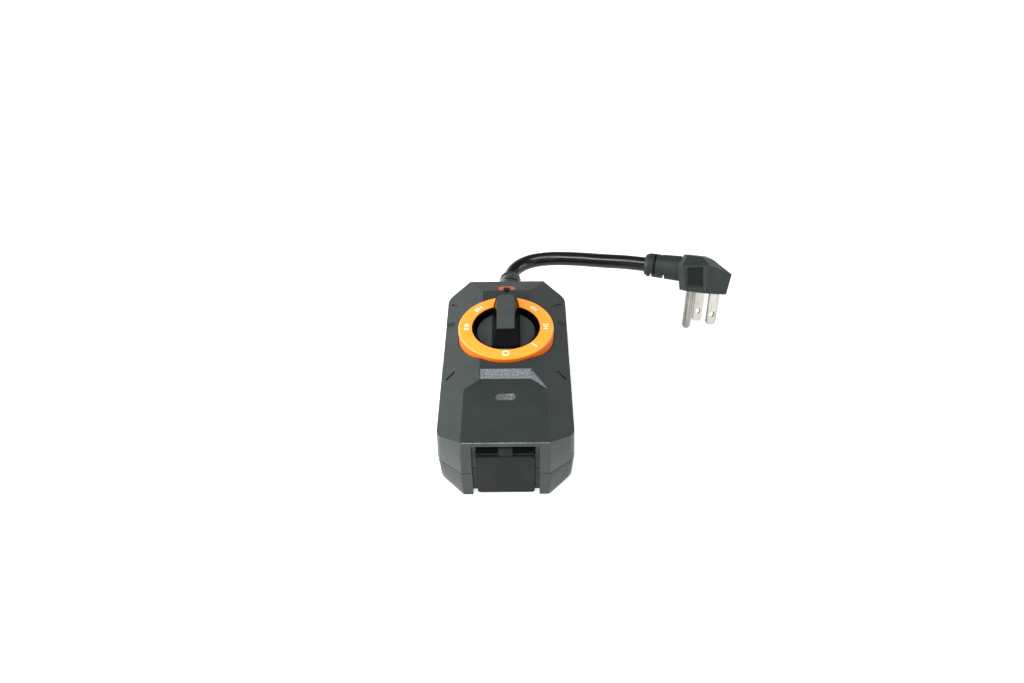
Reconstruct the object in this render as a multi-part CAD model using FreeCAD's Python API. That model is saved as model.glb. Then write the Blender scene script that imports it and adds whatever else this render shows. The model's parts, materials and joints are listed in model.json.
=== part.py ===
# Outdoor plug-in timer: a photocell countdown dial on a small box with one covered outlet.
# Millimetres, +Z up with the dial on top, +Y towards the cord, the outlet at -Y.
# The origin is on the table, under the middle of the casing.
import FreeCAD, Part
import math
import os

from FreeCAD import Placement, Rotation, Vector

# Casing outline
case_length = 119.1
case_end_width = 40.8
case_shoulder_width = 64.0
parting_flare = 0.55
base_inset = 3.25
foot_inset = 0.85
corner_run = 9.45
corner_radius = 7.0
nose_radius = 0.8
end_draft = 0.2
end_parting_flare = 0.54

# Casing heights
parting_height = 15.4
foot_round_height = 3.2
shoulder_height = 31.6
crown_height = 39.8
panel_height = 36.6
side_facet_slope = 0.4277
rear_facet_run = 12.05
panel_length = 34.1
step_offset = 7.4
step_inset_share = 0.6
step_run = 3.7
step_half_width = 12.3

# Casing walls
wall = 2.2
cut_overrun = 0.02
tolerance = 0.01
floor_thickness = 2.0
parting_gap = 0.45

# Casing surface details
dent_inset = 4.8
dent_front = -4.2
dent_diagonal_run = 7.0
dent_rear_run = 1.2
dent_rear = 28.6
dent_depth = 0.8
tick_inner_radius = 35.7
tick_length = 6.2
tick_width = 1.4
tick_depth = 0.8

# Dial
dial_y = 14.8
dial_ring_radius = 24.4
dial_ring_inner_radius = 17.4
ring_inner_edge = 0.2
ring_outer_edge = 0.5
ring_wall = 1.6
index_overlap = 1.0
dial_ring_top = 41.9
dial_ring_plate = 2.0
dial_ring_skirt = 1.8
dial_gap = 0.5
well_floor_top = 31.0
well_floor_thickness = 2.0
well_wall = 2.0
dish_floor_radius = 14.8
dish_depth = 3.0
dish_floor_thickness = 2.0
knob_fit = 0.1
knob_flange_top = 35.2
knob_flange_thickness = 1.8
hub_radius = 5.0
hub_running_gap = 0.07
shaft_flat_share = 0.72
grip_height = 8.3
grip_half_width = 4.6
grip_foot_half_width = 7.3
grip_tail = 7.6
grip_tail_foot = 14.0
grip_nose = 19.6
grip_nose_foot = 24.0
grip_nose_radius = 1.8
grip_edge_radius = 0.7
notch_inner_half_width = 6.8
notch_outer_half_width = 5.3
notch_inner_narrowing = 1.8
notch_outer_narrowing = 0.3
notch_clearance = 0.3
seal_section = 1.2
clip_thickness = 0.8
clip_radius = 7.4
clip_groove_depth = 0.8
clip_fit = 0.05
collar_wall = 2.4
collar_drop = 0.6
seal_drop = 1.0
seal_squeeze = 0.02
hub_length = 9.6
hub_groove_drop = 1.4
knob_bore_fit = 0.02
knob_bore_roof = 0.4
knob_foot = 3.0
rim_drop = 0.4

# Rotary switch
switch_size = 16.0
switch_height = 10.4
switch_bush_radius = 4.6
switch_bush_height = 3.6
switch_cavity_radius = 6.6
switch_wall = 1.6
switch_shaft_radius = 2.95
switch_shaft_gap = 0.06
rotor_radius = 6.1
rotor_thickness = 1.6
wiper_thickness = 0.4
wiper_half_width = 1.2
wiper_lift = 0.8

# Front recess, outlet and cover
notch_half_width = 15.8
notch_depth = 3.5
notch_top = 34.2
cheek = 2.0
window_half_width = 13.9
pocket_depth = 8.4
outlet_fit = 0.3
outlet_top = 26.7
outlet_proud = 1.4
outlet_length = 19.4
outlet_recess_half_width = 11.6
outlet_recess_bottom = 3.8
outlet_recess_top = 24.1
outlet_recess_depth = 1.1
outlet_face_thickness = 4.4
outlet_flange_half_width = 16.5
outlet_flange_thickness = 2.0
outlet_edge_radius = 1.2
flange_gap = 0.1
porch_fit = 0.4
ground_hole_radius = 2.7
ground_contact_fit = 0.05
ground_hole_height = 7.6
slot_spacing = 12.7
ground_offset = 11.9
slot_width = 2.0
hot_slot_height = 6.9
neutral_slot_height = 8.3
contact_sheet = 0.7
contact_length = 10.0
contact_fit = 0.2
contact_tail = 3.0
contact_tail_half_width = 1.6
slit_half_width = 0.3
cover_half_width = 13.6
cover_bottom = 0.9
cover_top = 26.2
cover_thickness = 1.5
cover_setback = 0.45
cover_gap = 0.2
cover_boss_fit = 0.4
cover_boss_depth = 0.8
cover_corner_radius = 1.6
strap_half_width = 3.3
strap_thickness = 1.4
strap_knuckle_radius = 1.2
strap_height = 31.0
strap_gap = 0.25
strap_slot_fit = 0.1
strap_head = 1.4
strap_head_thickness = 1.5

# Lenses, light sensor and lamps
clear_lens_length = 9.5
clear_lens_width = 4.2
clear_lens_setback = 29.05
orange_lens_length = 9.2
orange_lens_width = 5.1
orange_lens_setback = 9.3
lens_flange = 1.0
lens_flange_reach = 1.2
lens_fit = 0.1
arrow_rear_width = 3.1
arrow_rear_setback = 9.15
arrow_front_width = 3.5
arrow_shoulder_setback = 11.95
arrow_tip_setback = 14.15
arrow_height = 0.45
arrow_sink = 0.6
arrow_fit = 0.05
sensor_board_length = 20.0
sensor_board_width = 11.0
sensor_board_thickness = 1.2
sensor_board_drop = 2.9
sensor_post_spacing = 16.0
sensor_post_radius = 2.0
sensor_spacing = 5.2
photocell_radius = 2.3
photocell_thickness = 1.9
lamp_radius = 1.5
lamp_flange_radius = 1.9
lamp_holder_wall = 1.5
lamp_holder_depth = 4.6
lamp_fit = 0.1
lamp_top_gap = 0.3
sensor_lamp_foot = 0.4
lamp_flange_thickness = 1.0

# Main board and its parts
board_width = 50.0
board_gap = 8.55
board_rear_setback = 26.55
board_bottom = 7.0
board_thickness = 1.6
board_screw_x = 21.0
board_screw_inset = 3.75
board_post_radius = 2.8
board_screw_radius = 1.2
board_screw_head_radius = 2.3
board_screw_head = 1.5
board_screw_fit = 0.2
board_screw_length = 5.4
small_screw_length = 3.6
small_screw_step = 0.3
relay_size = (15.4, 19.0, 15.2)
relay_place = (10.5, 15.0)
film_capacitor_size = (6.4, 17.6, 12.4)
film_capacitor_place = (-14.0, 15.0)
can_capacitor_radius = 5.0
can_capacitor_height = 12.5
can_neck_height = 1.6
can_neck_depth = 0.4
can_capacitor_place = (-4.6, 6.0)
varistor_radius = 5.2
varistor_thickness = 4.0
varistor_rise = 1.0
leg_radius = 0.4
varistor_place = (-3.5, 18.0)
fuse_radius = 2.6
fuse_length = 20.0
fuse_rise = 0.6
fuse_cap_sheet = 0.2
fuse_clip_half = 1.8
fuse_clip_rise = 1.6
fuse_cap_length = 4.6
fuse_place = (-14.5, 44.3)
fuse_clip_sheet = 0.5
chip_size = (6.2, 10.2, 1.6)
chip_place = (17.0, 38.5)
tab_width = 6.3
tab_sheet = 0.8
tab_height = 7.0
tab_hole_radius = 0.9
tab_hole_drop = 2.0
line_tab_place = (16.5, 54.0)
load_tab_place = (12.5, 2.5)

# Fasteners of the casing and the cord clamp
case_screw_x = 24.4
case_screw_front_setback = 17.55
case_screw_rear_setback = 15.55
case_boss_radius = 3.8
boss_step = 0.4
case_screw_radius = 1.5
case_screw_head_radius = 2.8
case_screw_head = 2.4
drive_slot_share = 1.1
drive_slot_half_width = 0.3
case_screw_seat = 8.0
case_screw_length = 16.0
case_screw_fit = 0.3
clamp_setback = 11.55
clamp_width = 5.0
clamp_half_length = 11.5
clamp_height = 4.6
clamp_gap = 0.6
clamp_screw_x = 8.2
clamp_screw_length = 9.0

# Seal between the casings
seal_inset = 0.7
seal_width = 0.9
seal_depth = 0.7

# Cord and strain reliefs
cord_diameter = 8.4
cord_inner_setback = 17.55
gland_radius = 6.9
gland_fit = 0.15
gland_flange_radius = 8.6
gland_flange_thickness = 1.8
relief_length = 30.0
relief_tip_radius = 6.2
relief_slots = 5
relief_slot_width = 1.6
relief_first_slot = 5.5
relief_last_slot = 3.0
relief_slot_turns = (-41.0, 21.0)
relief_core = 0.4
relief_collar = 1.5
relief_tip_edge = 0.6
relief_lean = 3.0
cord_first_run = 4.5
cord_route = [
    (5.0, 100.0, 15.7),
    (10.6, 104.6, 16.3),
    (17.8, 106.5, 17.2),
    (28.5, 105.7, 18.7),
    (42.5, 102.2, 20.6),
    (56.5, 97.1, 22.7),
]
cord_last_run = 11.0

# Plug. Lengths run along the cord from the middle of the blades, heights up from the pin face.
plug_face = Vector(115.57, 71.13, 18.46)
plug_pin_direction = Vector(-0.114, -0.529, -0.841)
plug_blade_row = Vector(0.436, -0.787, 0.436)
plug_offset = 1.2
plug_half_width = 12.1
plug_draft = 0.09
plug_nose = 12.8
plug_cheek_start = -0.6
plug_side_end = 14.5
plug_cord_face = 18.0
plug_cord_face_half_width = 8.6
plug_cord_face_draft = 0.22
plug_gauge_height = 14.8
plug_cheek_height = 16.5
plug_side_end_height = 13.8
plug_nose_height = 11.9
plug_cord_face_height = 12.8
plug_roof_height = 20.2
plug_roof_half_width = 8.5
plug_roof_front = 4.1
plug_roof_rear = 12.0
plug_ridge_length = 4.7
plug_ridge_height = 18.2
plug_end_roof_half_width = 5.5
plug_end_roof_place = 15.3
plug_edge_radius = 0.8
plug_recess_rim = [(-0.2, 2.4), (11.2, 1.9), (11.9, 13.5), (1.4, 15.2)]
plug_recess_floor = [(1.6, 4.1), (9.6, 3.5), (10.8, 12.8), (3.0, 14.2)]
plug_recess_depth = 1.4
plug_axis_height = 11.7
plug_neck_radius = 7.35
plug_neck_end_radius = 6.9
plug_neck_end = 30.0
plug_neck_slots = [(32.7, -102), (30.2, 18), (27.7, 138), (25.2, -102)]
plug_slot_width = 1.7
plug_slot_span = 126
plug_ring_end = 37.2
plug_ring_edge = 2.0
blade_width = 6.35
blade_sheet = 1.5
blade_length = 17.5
blade_root = 7.0
blade_hole_radius = 1.6
blade_hole_place = 11.7
blade_tip_cut = 1.2
earth_pin_radius = 2.4
earth_pin_length = 21.4
earth_root_radius = 3.0
earth_root_depth = 1.8
earth_stem_radius = 1.5
wire_diameter = 2.6
lamp_wire_diameter = 1.4
core_spread = 1.6
core_drop = 2.1
core_straight = 2.8
bend_share = 0.45
line_tab_approach = 6.0
load_tab_approach = 2.8
neutral_approach = 4.2
ground_approach = 2.8
load_approach = 3.2
lead_straight = 3.0
lamp_lead_rise = 9.4
sensor_lead_rise = 7.0
sensor_lead_setback = 3.4
sensor_landing_x = 2.6
lamp_wire_landing = (7.0, 5.0)

# Bends of the inner wires: across, along and up from where each stretch starts
line_wire_bends = [
    (6.0, -5.5, 2.2),
    (12.5, -8.0, 1.0),
]
neutral_wire_rear_bends = [
    (-8.0, -7.5, 3.6),
    (-18.0, -13.5, 4.1),
    (-24.6, -24.0, 1.6),
]
neutral_wire_front_bends = [
    (-26.2, 39.0, -1.0),
    (-26.0, 25.0, -1.0),
    (-22.0, 12.5, 1.6),
    (-14.5, 6.0, 4.2),
]
ground_wire_rear_bends = [
    (0.4, -5.6, 4.2),
    (1.2, -13.0, 2.2),
    (2.2, -32.0, 1.7),
]
ground_wire_front_bends = [
    (1.4, 23.0, 1.8),
    (0.0, 5.8, 2.2),
]
load_wire_bends = [
    (9.8, -4.6, 3.5),
]
lamp_wire_bends = [
    (1.5, -5.6, -6.6),
    (5.0, -15.6, -7.6),
]
sensor_wire_bends = [
    (1.8, -0.4, 5.4),
]

# Values worked out from the sizes above
half_length = case_length / 2
end_half = case_end_width / 2
end_parting = end_half + end_parting_flare
shoulder_half = case_shoulder_width / 2
parting_half = shoulder_half + parting_flare
base_half = parting_half - base_inset
foot_half = parting_half - foot_inset
front_y = -half_length
rear_y = half_length
jamb_y = front_y + notch_depth
clear_lens_y = front_y + clear_lens_setback
orange_lens_y = rear_y - orange_lens_setback
arrow_rear_y = rear_y - arrow_rear_setback
case_screw_front = front_y + case_screw_front_setback
case_screw_rear = rear_y - case_screw_rear_setback
clamp_y = rear_y - clamp_setback
cord_inner_end = rear_y - cord_inner_setback
side_draft = (parting_half - shoulder_half) / (shoulder_height - parting_height)
rear_facet_slope = (crown_height - panel_height) / rear_facet_run
arrow_base = panel_height + arrow_rear_setback * rear_facet_slope - arrow_sink
panel_end_y = front_y + panel_length
step_bottom_y = panel_end_y + step_offset
board_top = board_bottom + board_thickness
dish_floor = dial_ring_top - dish_depth
dish_rim_radius = dial_ring_inner_radius - knob_fit
well_radius = dial_ring_radius + dial_gap
well_floor_bottom = well_floor_top - well_floor_thickness
collar_bottom = well_floor_bottom - collar_drop
ring_bottom = well_floor_top + dial_gap
switch_top = board_top + switch_height
blades_height = ground_hole_height + ground_offset
outlet_half_width = window_half_width - outlet_fit
outlet_front = jamb_y - outlet_proud
outlet_face_y = outlet_front + outlet_recess_depth
outlet_back = outlet_front + outlet_length
board_front = outlet_back + board_gap
board_rear = rear_y - board_rear_setback
board_screw_front = board_front + board_screw_inset
board_screw_rear = board_rear - board_screw_inset
setback_wall_back = jamb_y + wall
cover_front = front_y + cover_setback
cover_back = cover_front + cover_thickness
strap_y = cover_front + strap_knuckle_radius + 0.7
cord_radius = cord_diameter / 2
relief_way = Vector(math.sin(math.radians(relief_lean)), math.cos(math.radians(relief_lean)), 0)
cord_height = parting_height
relief_root = Vector(0, rear_y, cord_height)
relief_tip = relief_root + relief_way * relief_length


def box(x0, x1, y0, y1, z0, z1):
    """A block between two corners."""
    return Part.makeBox(x1 - x0, y1 - y0, z1 - z0, Vector(x0, y0, z0))


def wide_box(half_width, y0, y1, z0, z1):
    """A block with its middle on the plane of symmetry."""
    return box(-half_width, half_width, y0, y1, z0, z1)


def rod(radius, start, end):
    """A round bar between two points."""
    along = end - start
    return Part.makeCylinder(radius, along.Length, start, along)


def post(radius, x, y, z0, z1):
    """An upright round bar."""
    return Part.makeCylinder(radius, z1 - z0, Vector(x, y, z0))


def tube(outer, inner, x, y, z0, z1):
    """An upright round sleeve."""
    return post(outer, x, y, z0, z1).cut(post(inner, x, y, z0 - 1, z1 + 1))


def turned(profile, centre):
    """A solid turned about the upright axis through centre, from (radius, height) points."""
    points = [Vector(centre.x + r, centre.y, z) for r, z in profile]
    face = Part.Face(Part.makePolygon(points + points[:1]))
    return face.revolve(centre, Vector(0, 0, 1), 360)


def inset_points(points, inset):
    """The corners of a convex outline, listed anticlockwise, moved inwards by inset."""
    moved = []
    count = len(points)
    for i in range(count):
        before = Vector(*points[i - 1], 0)
        here = Vector(*points[i], 0)
        after = Vector(*points[(i + 1) % count], 0)
        first = (here - before).normalize()
        second = (after - here).normalize()
        turn = first.cross(second).z
        reach = inset * (1 - first.dot(second)) / turn
        corner = here + Vector(-first.y, first.x, 0) * inset + first * reach * -1
        moved.append((corner.x, corner.y))
    return moved


def rounded_wire(points, radii, height):
    """A flat closed outline with an arc of its own radius at each corner."""
    edges = []
    count = len(points)
    ends = []
    for i in range(count):
        before = Vector(*points[i - 1], height)
        here = Vector(*points[i], height)
        after = Vector(*points[(i + 1) % count], height)
        back = (before - here).normalize()
        ahead = (after - here).normalize()
        half_turn = (math.pi - back.getAngle(ahead)) / 2
        reach = radii[i] * math.tan(half_turn)
        start = here + back * reach
        end = here + ahead * reach
        middle_way = (back + ahead).normalize()
        sagitta = radii[i] / math.cos(half_turn) - radii[i]
        ends.append((start, here + middle_way * sagitta, end))
    for i in range(count):
        start, middle, end = ends[i]
        edges.append(Part.Arc(start, middle, end).toShape())
        edges.append(Part.LineSegment(end, ends[(i + 1) % count][0]).toShape())
    return Part.Wire(edges)


def case_corners(half_width, flat_half):
    """The eight corners of the casing in plan, anticlockwise from the front right."""
    run_y = half_length - corner_run
    return [
        (flat_half, -half_length),
        (half_width, -run_y),
        (half_width, run_y),
        (flat_half, half_length),
        (-flat_half, half_length),
        (-half_width, run_y),
        (-half_width, -run_y),
        (-flat_half, -half_length),
    ]


def case_wire(half_width, flat_half, height, inset=0.0):
    """The casing's outline at one height, inset for a wall."""
    points = inset_points(case_corners(half_width, flat_half), inset)
    side = max(corner_radius - inset, 1.0)
    nose = max(nose_radius, inset * 0.5)
    radii = [nose, side, side, nose, nose, side, side, nose]
    return rounded_wire(points, radii, height)


def beyond_plane(point, normal):
    """A very large block with one face on a plane, on the side that the normal points to."""
    reach = 4 * case_length
    block = Part.makeBox(2 * reach, 2 * reach, reach, Vector(-reach, -reach, 0))
    block.Placement = Placement(point, Rotation(Vector(0, 0, 1), normal))
    return block


def slab(points, height):
    """A polygon in plan as a wire at one height."""
    corners = [Vector(x, y, height) for x, y in points]
    return Part.makePolygon(corners + corners[:1])


def panel_cut(inset):
    """The space above the sunken front panel and its sloping step."""
    far = case_length
    low = panel_height - inset
    high = crown_height + 4
    rise = crown_height - panel_height
    panel_half = shoulder_half - (panel_height - shoulder_height) / side_facet_slope
    back_low = step_bottom_y + inset * step_inset_share
    back_high = back_low + step_run * (high - panel_height) / rise
    diagonal = (panel_half - step_half_width) / step_offset
    side_low = panel_end_y + inset * step_inset_share
    side_high = side_low + step_run * (high - panel_height) / rise
    wide = panel_half + cut_overrun
    low_points = [(wide, -far), (wide, side_low), (wide - diagonal * step_offset, back_low)]
    high_points = [(wide, -far), (wide, side_high), (wide - diagonal * step_offset, back_high)]
    low_points += [(-x, y) for x, y in reversed(low_points)]
    high_points += [(-x, y) for x, y in reversed(high_points)]
    return Part.makeLoft([slab(low_points, low), slab(high_points, high)], True, True)


def upper_form(inset):
    """The faceted top of the casing as a solid, with every face moved inwards by inset."""
    start = parting_height - (wall if inset else 0)
    top = crown_height
    draft_top = side_draft * (top - parting_height)
    low = case_wire(parting_half, end_parting, start, inset)
    high = case_wire(parting_half - draft_top, end_half - end_draft, top, inset)
    form = Part.makeLoft([low, high], True, True)
    for side in (-1, 1):
        normal = Vector(side * side_facet_slope, 0, 1).normalize()
        point = Vector(side * shoulder_half, 0, shoulder_height) - normal * inset
        form = form.cut(beyond_plane(point, normal))
    normal = Vector(0, rear_facet_slope, 1).normalize()
    point = Vector(0, rear_y, panel_height) - normal * inset
    form = form.cut(beyond_plane(point, normal))
    if inset:
        form = form.cut(beyond_plane(Vector(0, 0, crown_height - inset), Vector(0, 0, 1)))
    return form.cut(panel_cut(inset))


def side_facet_height(x):
    """Height of the sloping side facet at a distance from the middle."""
    return shoulder_height + (shoulder_half - abs(x)) * side_facet_slope


def rear_facet_height(y):
    """Height of the sloping rear facet."""
    return panel_height + (rear_y - y) * rear_facet_slope


def side_dents():
    """The shallow finger dents in the two side facets."""
    inner = shoulder_half - dent_inset
    outer = case_shoulder_width
    cuts = []
    for side in (-1, 1):
        plan = [
            (side * inner, dent_rear),
            (side * inner, dent_front + dent_diagonal_run),
            (side * (shoulder_half + 1), dent_front),
            (side * outer, dent_front),
            (side * outer, dent_rear + dent_rear_run),
        ]
        block = Part.Face(slab(plan, 0)).extrude(Vector(0, 0, crown_height))
        normal = Vector(side * side_facet_slope, 0, 1).normalize()
        point = Vector(side * shoulder_half, 0, shoulder_height) - normal * dent_depth
        cuts.append(block.common(beyond_plane(point, normal)))
    return cuts


def tick_marks():
    """Four engraved ticks round the dial, one to each corner."""
    cuts = []
    for turn in (45, 135, 225, 315):
        way = Vector(math.cos(math.radians(turn)), math.sin(math.radians(turn)), 0)
        middle = way * (tick_inner_radius + tick_length / 2) + Vector(0, dial_y, 0)
        depth_z = side_facet_height(middle.x) - tick_depth
        tick = box(-tick_length / 2, tick_length / 2, -tick_width / 2, tick_width / 2, 0, crown_height)
        side = 1 if middle.x > 0 else -1
        tick.Placement = Placement(Vector(middle.x, middle.y, 0), Rotation(Vector(0, 0, 1), turn))
        normal = Vector(side * side_facet_slope, 0, 1).normalize()
        cuts.append(tick.common(beyond_plane(Vector(middle.x, middle.y, depth_z), normal)))
    return cuts


def stadium(length, width, x, y, z0, z1):
    """An upright bar with a slot-shaped section, long in X."""
    straight = length - width
    core = box(x - straight / 2, x + straight / 2, y - width / 2, y + width / 2, z0, z1)
    ends = [post(width / 2, x + side * straight / 2, y, z0, z1) for side in (-1, 1)]
    return core.fuse(ends).removeSplitter()


def clear_lens_body(extra):
    """The space of the clear lens, with its flange below the panel."""
    under = panel_height - wall
    plate = stadium(clear_lens_length + 2 * extra, clear_lens_width + 2 * extra,
                    0, clear_lens_y, under - lens_flange / 2, panel_height + 1)
    return plate


def orange_lens_body(extra):
    """The space of the orange lens through the rear facet."""
    return stadium(orange_lens_length + 2 * extra, orange_lens_width + 2 * extra,
                   0, orange_lens_y, panel_height - 2 * wall, crown_height + 1)


def arrow_prism(z0, z1, extra=0.0):
    """The small pointer that reads the dial, in plan a short bar with a point."""
    rear = arrow_rear_width / 2 + extra
    front = arrow_front_width / 2 + extra
    plan = [
        (-rear, arrow_rear_y + extra),
        (-front, rear_y - arrow_shoulder_setback),
        (0, rear_y - arrow_tip_setback - extra),
        (front, rear_y - arrow_shoulder_setback),
        (rear, arrow_rear_y + extra),
    ]
    return Part.Face(slab(plan, z0)).extrude(Vector(0, 0, z1 - z0))


def upper_casing():
    shell = upper_form(0).cut(upper_form(wall))
    well_top = crown_height + 1
    well_outside = post(well_radius + well_wall, 0, dial_y, well_floor_bottom, well_top)
    shell = shell.fuse(well_outside.common(upper_form(0)))
    collar = post(hub_radius + hub_running_gap + collar_wall, 0, dial_y, collar_bottom, well_floor_top)
    porch = wide_box(notch_half_width + cheek, front_y, setback_wall_back,
                     parting_height, panel_height - wall / 4)
    pocket = wide_box(window_half_width + cheek, setback_wall_back, jamb_y + pocket_depth + wall,
                      outlet_top + outlet_fit, panel_height - wall / 4)
    solid = shell.fuse([collar, porch.common(upper_form(0)), pocket])
    for x, y in case_screw_places():
        boss = post(case_boss_radius - boss_step, x, y, parting_height, crown_height)
        solid = solid.fuse(boss.common(upper_form(wall / 2)))
    for side in (-1, 1):
        solid = solid.fuse(post(sensor_post_radius, side * sensor_post_spacing / 2, clear_lens_y,
                                panel_height - wall - sensor_board_drop, panel_height - wall / 2))
    lamp_bottom = rear_facet_height(orange_lens_y) - wall - lamp_holder_depth
    lamp_boss = post(lamp_radius + lamp_holder_wall, 0, orange_lens_y,
                     lamp_bottom, lamp_bottom + lamp_holder_depth + wall / 3)
    solid = solid.fuse(lamp_boss)
    solid = solid.cut(post(well_radius, 0, dial_y, well_floor_top, well_top))
    solid = solid.cut(post(hub_radius + hub_running_gap, 0, dial_y, 0, crown_height))
    notch = wide_box(notch_half_width, front_y - 1, jamb_y, 0, notch_top)
    window = wide_box(window_half_width, front_y - 1, jamb_y + pocket_depth, 0, notch_top)
    slot_half = strap_thickness / 2 + strap_slot_fit
    strap_slot = wide_box(strap_half_width + strap_gap, jamb_y, jamb_y + pocket_depth + wall + 1,
                          strap_height - slot_half, strap_height + slot_half)
    solid = solid.cut([notch, window, strap_slot])
    solid = solid.cut(gland_hole())
    for x, y in case_screw_places():
        solid = solid.cut(post(case_screw_radius, x, y, 0, case_screw_seat + case_screw_length + 1))
    for side in (-1, 1):
        solid = solid.cut(post(board_screw_radius - small_screw_step, side * sensor_post_spacing / 2,
                               clear_lens_y, 0, panel_height - wall - small_screw_step))
    solid = solid.cut([clear_lens_body(lens_fit), orange_lens_body(lens_fit)])
    solid = solid.cut(post(lamp_radius + lamp_fit, 0, orange_lens_y, 0, panel_height))
    solid = solid.cut(arrow_prism(arrow_base, crown_height + 1, arrow_fit))
    solid = solid.cut(side_dents() + tick_marks())
    below = everywhere(0, parting_height + parting_gap / 2)
    solid = solid.cut(below.cut(boss_mask(parting_height, crown_height)))
    return solid.removeSplitter()


def everywhere(z0, z1):
    """A flat block wider than the casing, for cutting at the parting line."""
    return box(-case_length, case_length, -case_length, case_length, z0, z1)


def boss_mask(z0, z1):
    """The screw bosses, which meet at the parting height itself and so are left out of its gap."""
    masks = [post(case_boss_radius, x, y, z0, z1) for x, y in case_screw_places()]
    return masks[0].fuse(masks[1:])


def gland_hole():
    """The hole for the cord's boot through the rear wall."""
    return rod(gland_radius, Vector(0, rear_y - 3 * wall, cord_height), Vector(0, rear_y + 1, cord_height))


def case_screw_places():
    return [(side * case_screw_x, y) for side in (-1, 1) for y in (case_screw_front, case_screw_rear)]


def board_screw_places():
    return [(side * board_screw_x, y) for side in (-1, 1) for y in (board_screw_front, board_screw_rear)]


def lower_form(inset):
    """The tub of the casing as a solid, with its walls moved inwards by inset."""
    top = parting_height + (wall if inset else 0)
    base = case_wire(base_half, end_half, 0, inset)
    foot = case_wire(foot_half, end_half + end_draft, foot_round_height, inset)
    rim = case_wire(parting_half, end_parting, top, inset)
    lower = Part.makeLoft([base, foot], True, True)
    upper = Part.makeLoft([foot, rim], True, True)
    return lower.fuse(upper).removeSplitter()


def seal_loop(extra, z0, z1):
    """The seal's band along the rim, open at the outlet and at the cord."""
    outer = Part.Face(case_wire(parting_half, end_parting, z0, seal_inset - extra))
    inner = Part.Face(case_wire(parting_half, end_parting, z0, seal_inset + seal_width + extra))
    band = outer.cut(inner).extrude(Vector(0, 0, z1 - z0))
    front_gap = wide_box(notch_half_width + cheek + porch_fit - extra, front_y - 1, 0, 0, crown_height)
    rear_gap = wide_box(gland_radius + cheek - extra, 0, rear_y + 1, 0, crown_height)
    return band.cut([front_gap, rear_gap])


def lower_casing():
    inside = lower_form(wall).cut(everywhere(-1, floor_thickness))
    solid = lower_form(0).cut(inside)
    porch = wide_box(notch_half_width + cheek, front_y, setback_wall_back, 0, parting_height)
    solid = solid.fuse(porch.common(lower_form(0)))
    for side in (-1, 1):
        rib_inner = side * window_half_width
        rib_outer = side * outlet_flange_half_width
        rib_front = setback_wall_back + outlet_flange_thickness + 2 * flange_gap
        solid = solid.fuse(box(min(rib_inner, rib_outer), max(rib_inner, rib_outer),
                               rib_front, rib_front + 2, floor_thickness / 2, parting_height - 3))
    cradle = wide_box(clamp_half_length, clamp_y - clamp_width / 2, clamp_y + clamp_width / 2,
                      floor_thickness / 2, cord_height - clamp_gap)
    solid = solid.fuse(cradle)
    for x, y in case_screw_places():
        solid = solid.fuse(post(case_boss_radius, x, y, 0, parting_height))
    for x, y in board_screw_places():
        solid = solid.fuse(post(board_post_radius, x, y, floor_thickness / 2, board_bottom))
    notch = wide_box(notch_half_width, front_y - 1, jamb_y, -1, crown_height)
    window = wide_box(window_half_width, front_y - 1, setback_wall_back + flange_gap,
                      floor_thickness, crown_height)
    solid = solid.cut([notch, window])
    solid = solid.cut(gland_hole())
    solid = solid.cut(rod(cord_radius, Vector(0, 0, cord_height), Vector(0, rear_y, cord_height)))
    for x, y in case_screw_places():
        solid = solid.cut(post(case_screw_head_radius + case_screw_fit, x, y, -1, case_screw_seat))
        solid = solid.cut(post(case_screw_radius + case_screw_fit, x, y, -1, crown_height))
    for x, y in board_screw_places():
        solid = solid.cut(post(board_screw_radius, x, y, floor_thickness, crown_height))
    for side in (-1, 1):
        solid = solid.cut(post(board_screw_radius, side * clamp_screw_x, clamp_y,
                               floor_thickness, crown_height))
    rim_gap = everywhere(parting_height - parting_gap / 2, crown_height)
    solid = solid.cut(rim_gap.cut(boss_mask(0, parting_height)))
    solid = solid.cut(seal_loop(0, parting_height - parting_gap / 2 - seal_depth, parting_height))
    return solid.removeSplitter()


def casing_seal():
    return seal_loop(0, parting_height - parting_gap / 2 - seal_depth, parting_height + parting_gap / 2)


def screw(radius, head_radius, head_height, x, y, seat, tip):
    """A pan-head screw along Z. The head lies on the side of the seat away from the tip."""
    up = 1 if seat > tip else -1
    shank = rod(radius, Vector(x, y, seat), Vector(x, y, tip))
    head = rod(head_radius, Vector(x, y, seat), Vector(x, y, seat + up * head_height))
    slot_length = head_radius * drive_slot_share
    slot_z = sorted((seat + up * head_height / 2, seat + up * (head_height + 1)))
    slots = [
        box(x - slot_length / 2, x + slot_length / 2,
            y - drive_slot_half_width, y + drive_slot_half_width, *slot_z),
        box(x - drive_slot_half_width, x + drive_slot_half_width,
            y - slot_length / 2, y + slot_length / 2, *slot_z),
    ]
    return shank.fuse(head).cut(slots).removeSplitter()


def group(solids):
    return Part.makeCompound(solids)


def casing_screws():
    tip = case_screw_seat + case_screw_length
    return group([
        screw(case_screw_radius, case_screw_head_radius, case_screw_head, x, y, case_screw_seat, tip)
        for x, y in case_screw_places()
    ])


def ring_notch():
    """The gap in the ring for the grip, wider at its inner edge, with sloping walls."""
    inner_y = dial_y + dial_ring_inner_radius - index_overlap
    outer_y = dial_y + dial_ring_radius + 1
    wires = []
    for height, share in ((knob_flange_top + knob_fit, 1), (dial_ring_top, 0)):
        inner = notch_inner_half_width - notch_inner_narrowing * share
        outer = notch_outer_half_width - notch_outer_narrowing * share
        corners = [(inner, inner_y), (outer, outer_y), (-outer, outer_y), (-inner, inner_y)]
        wires.append(slab(corners, height))
    return Part.makeLoft(wires, True, True)


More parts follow.
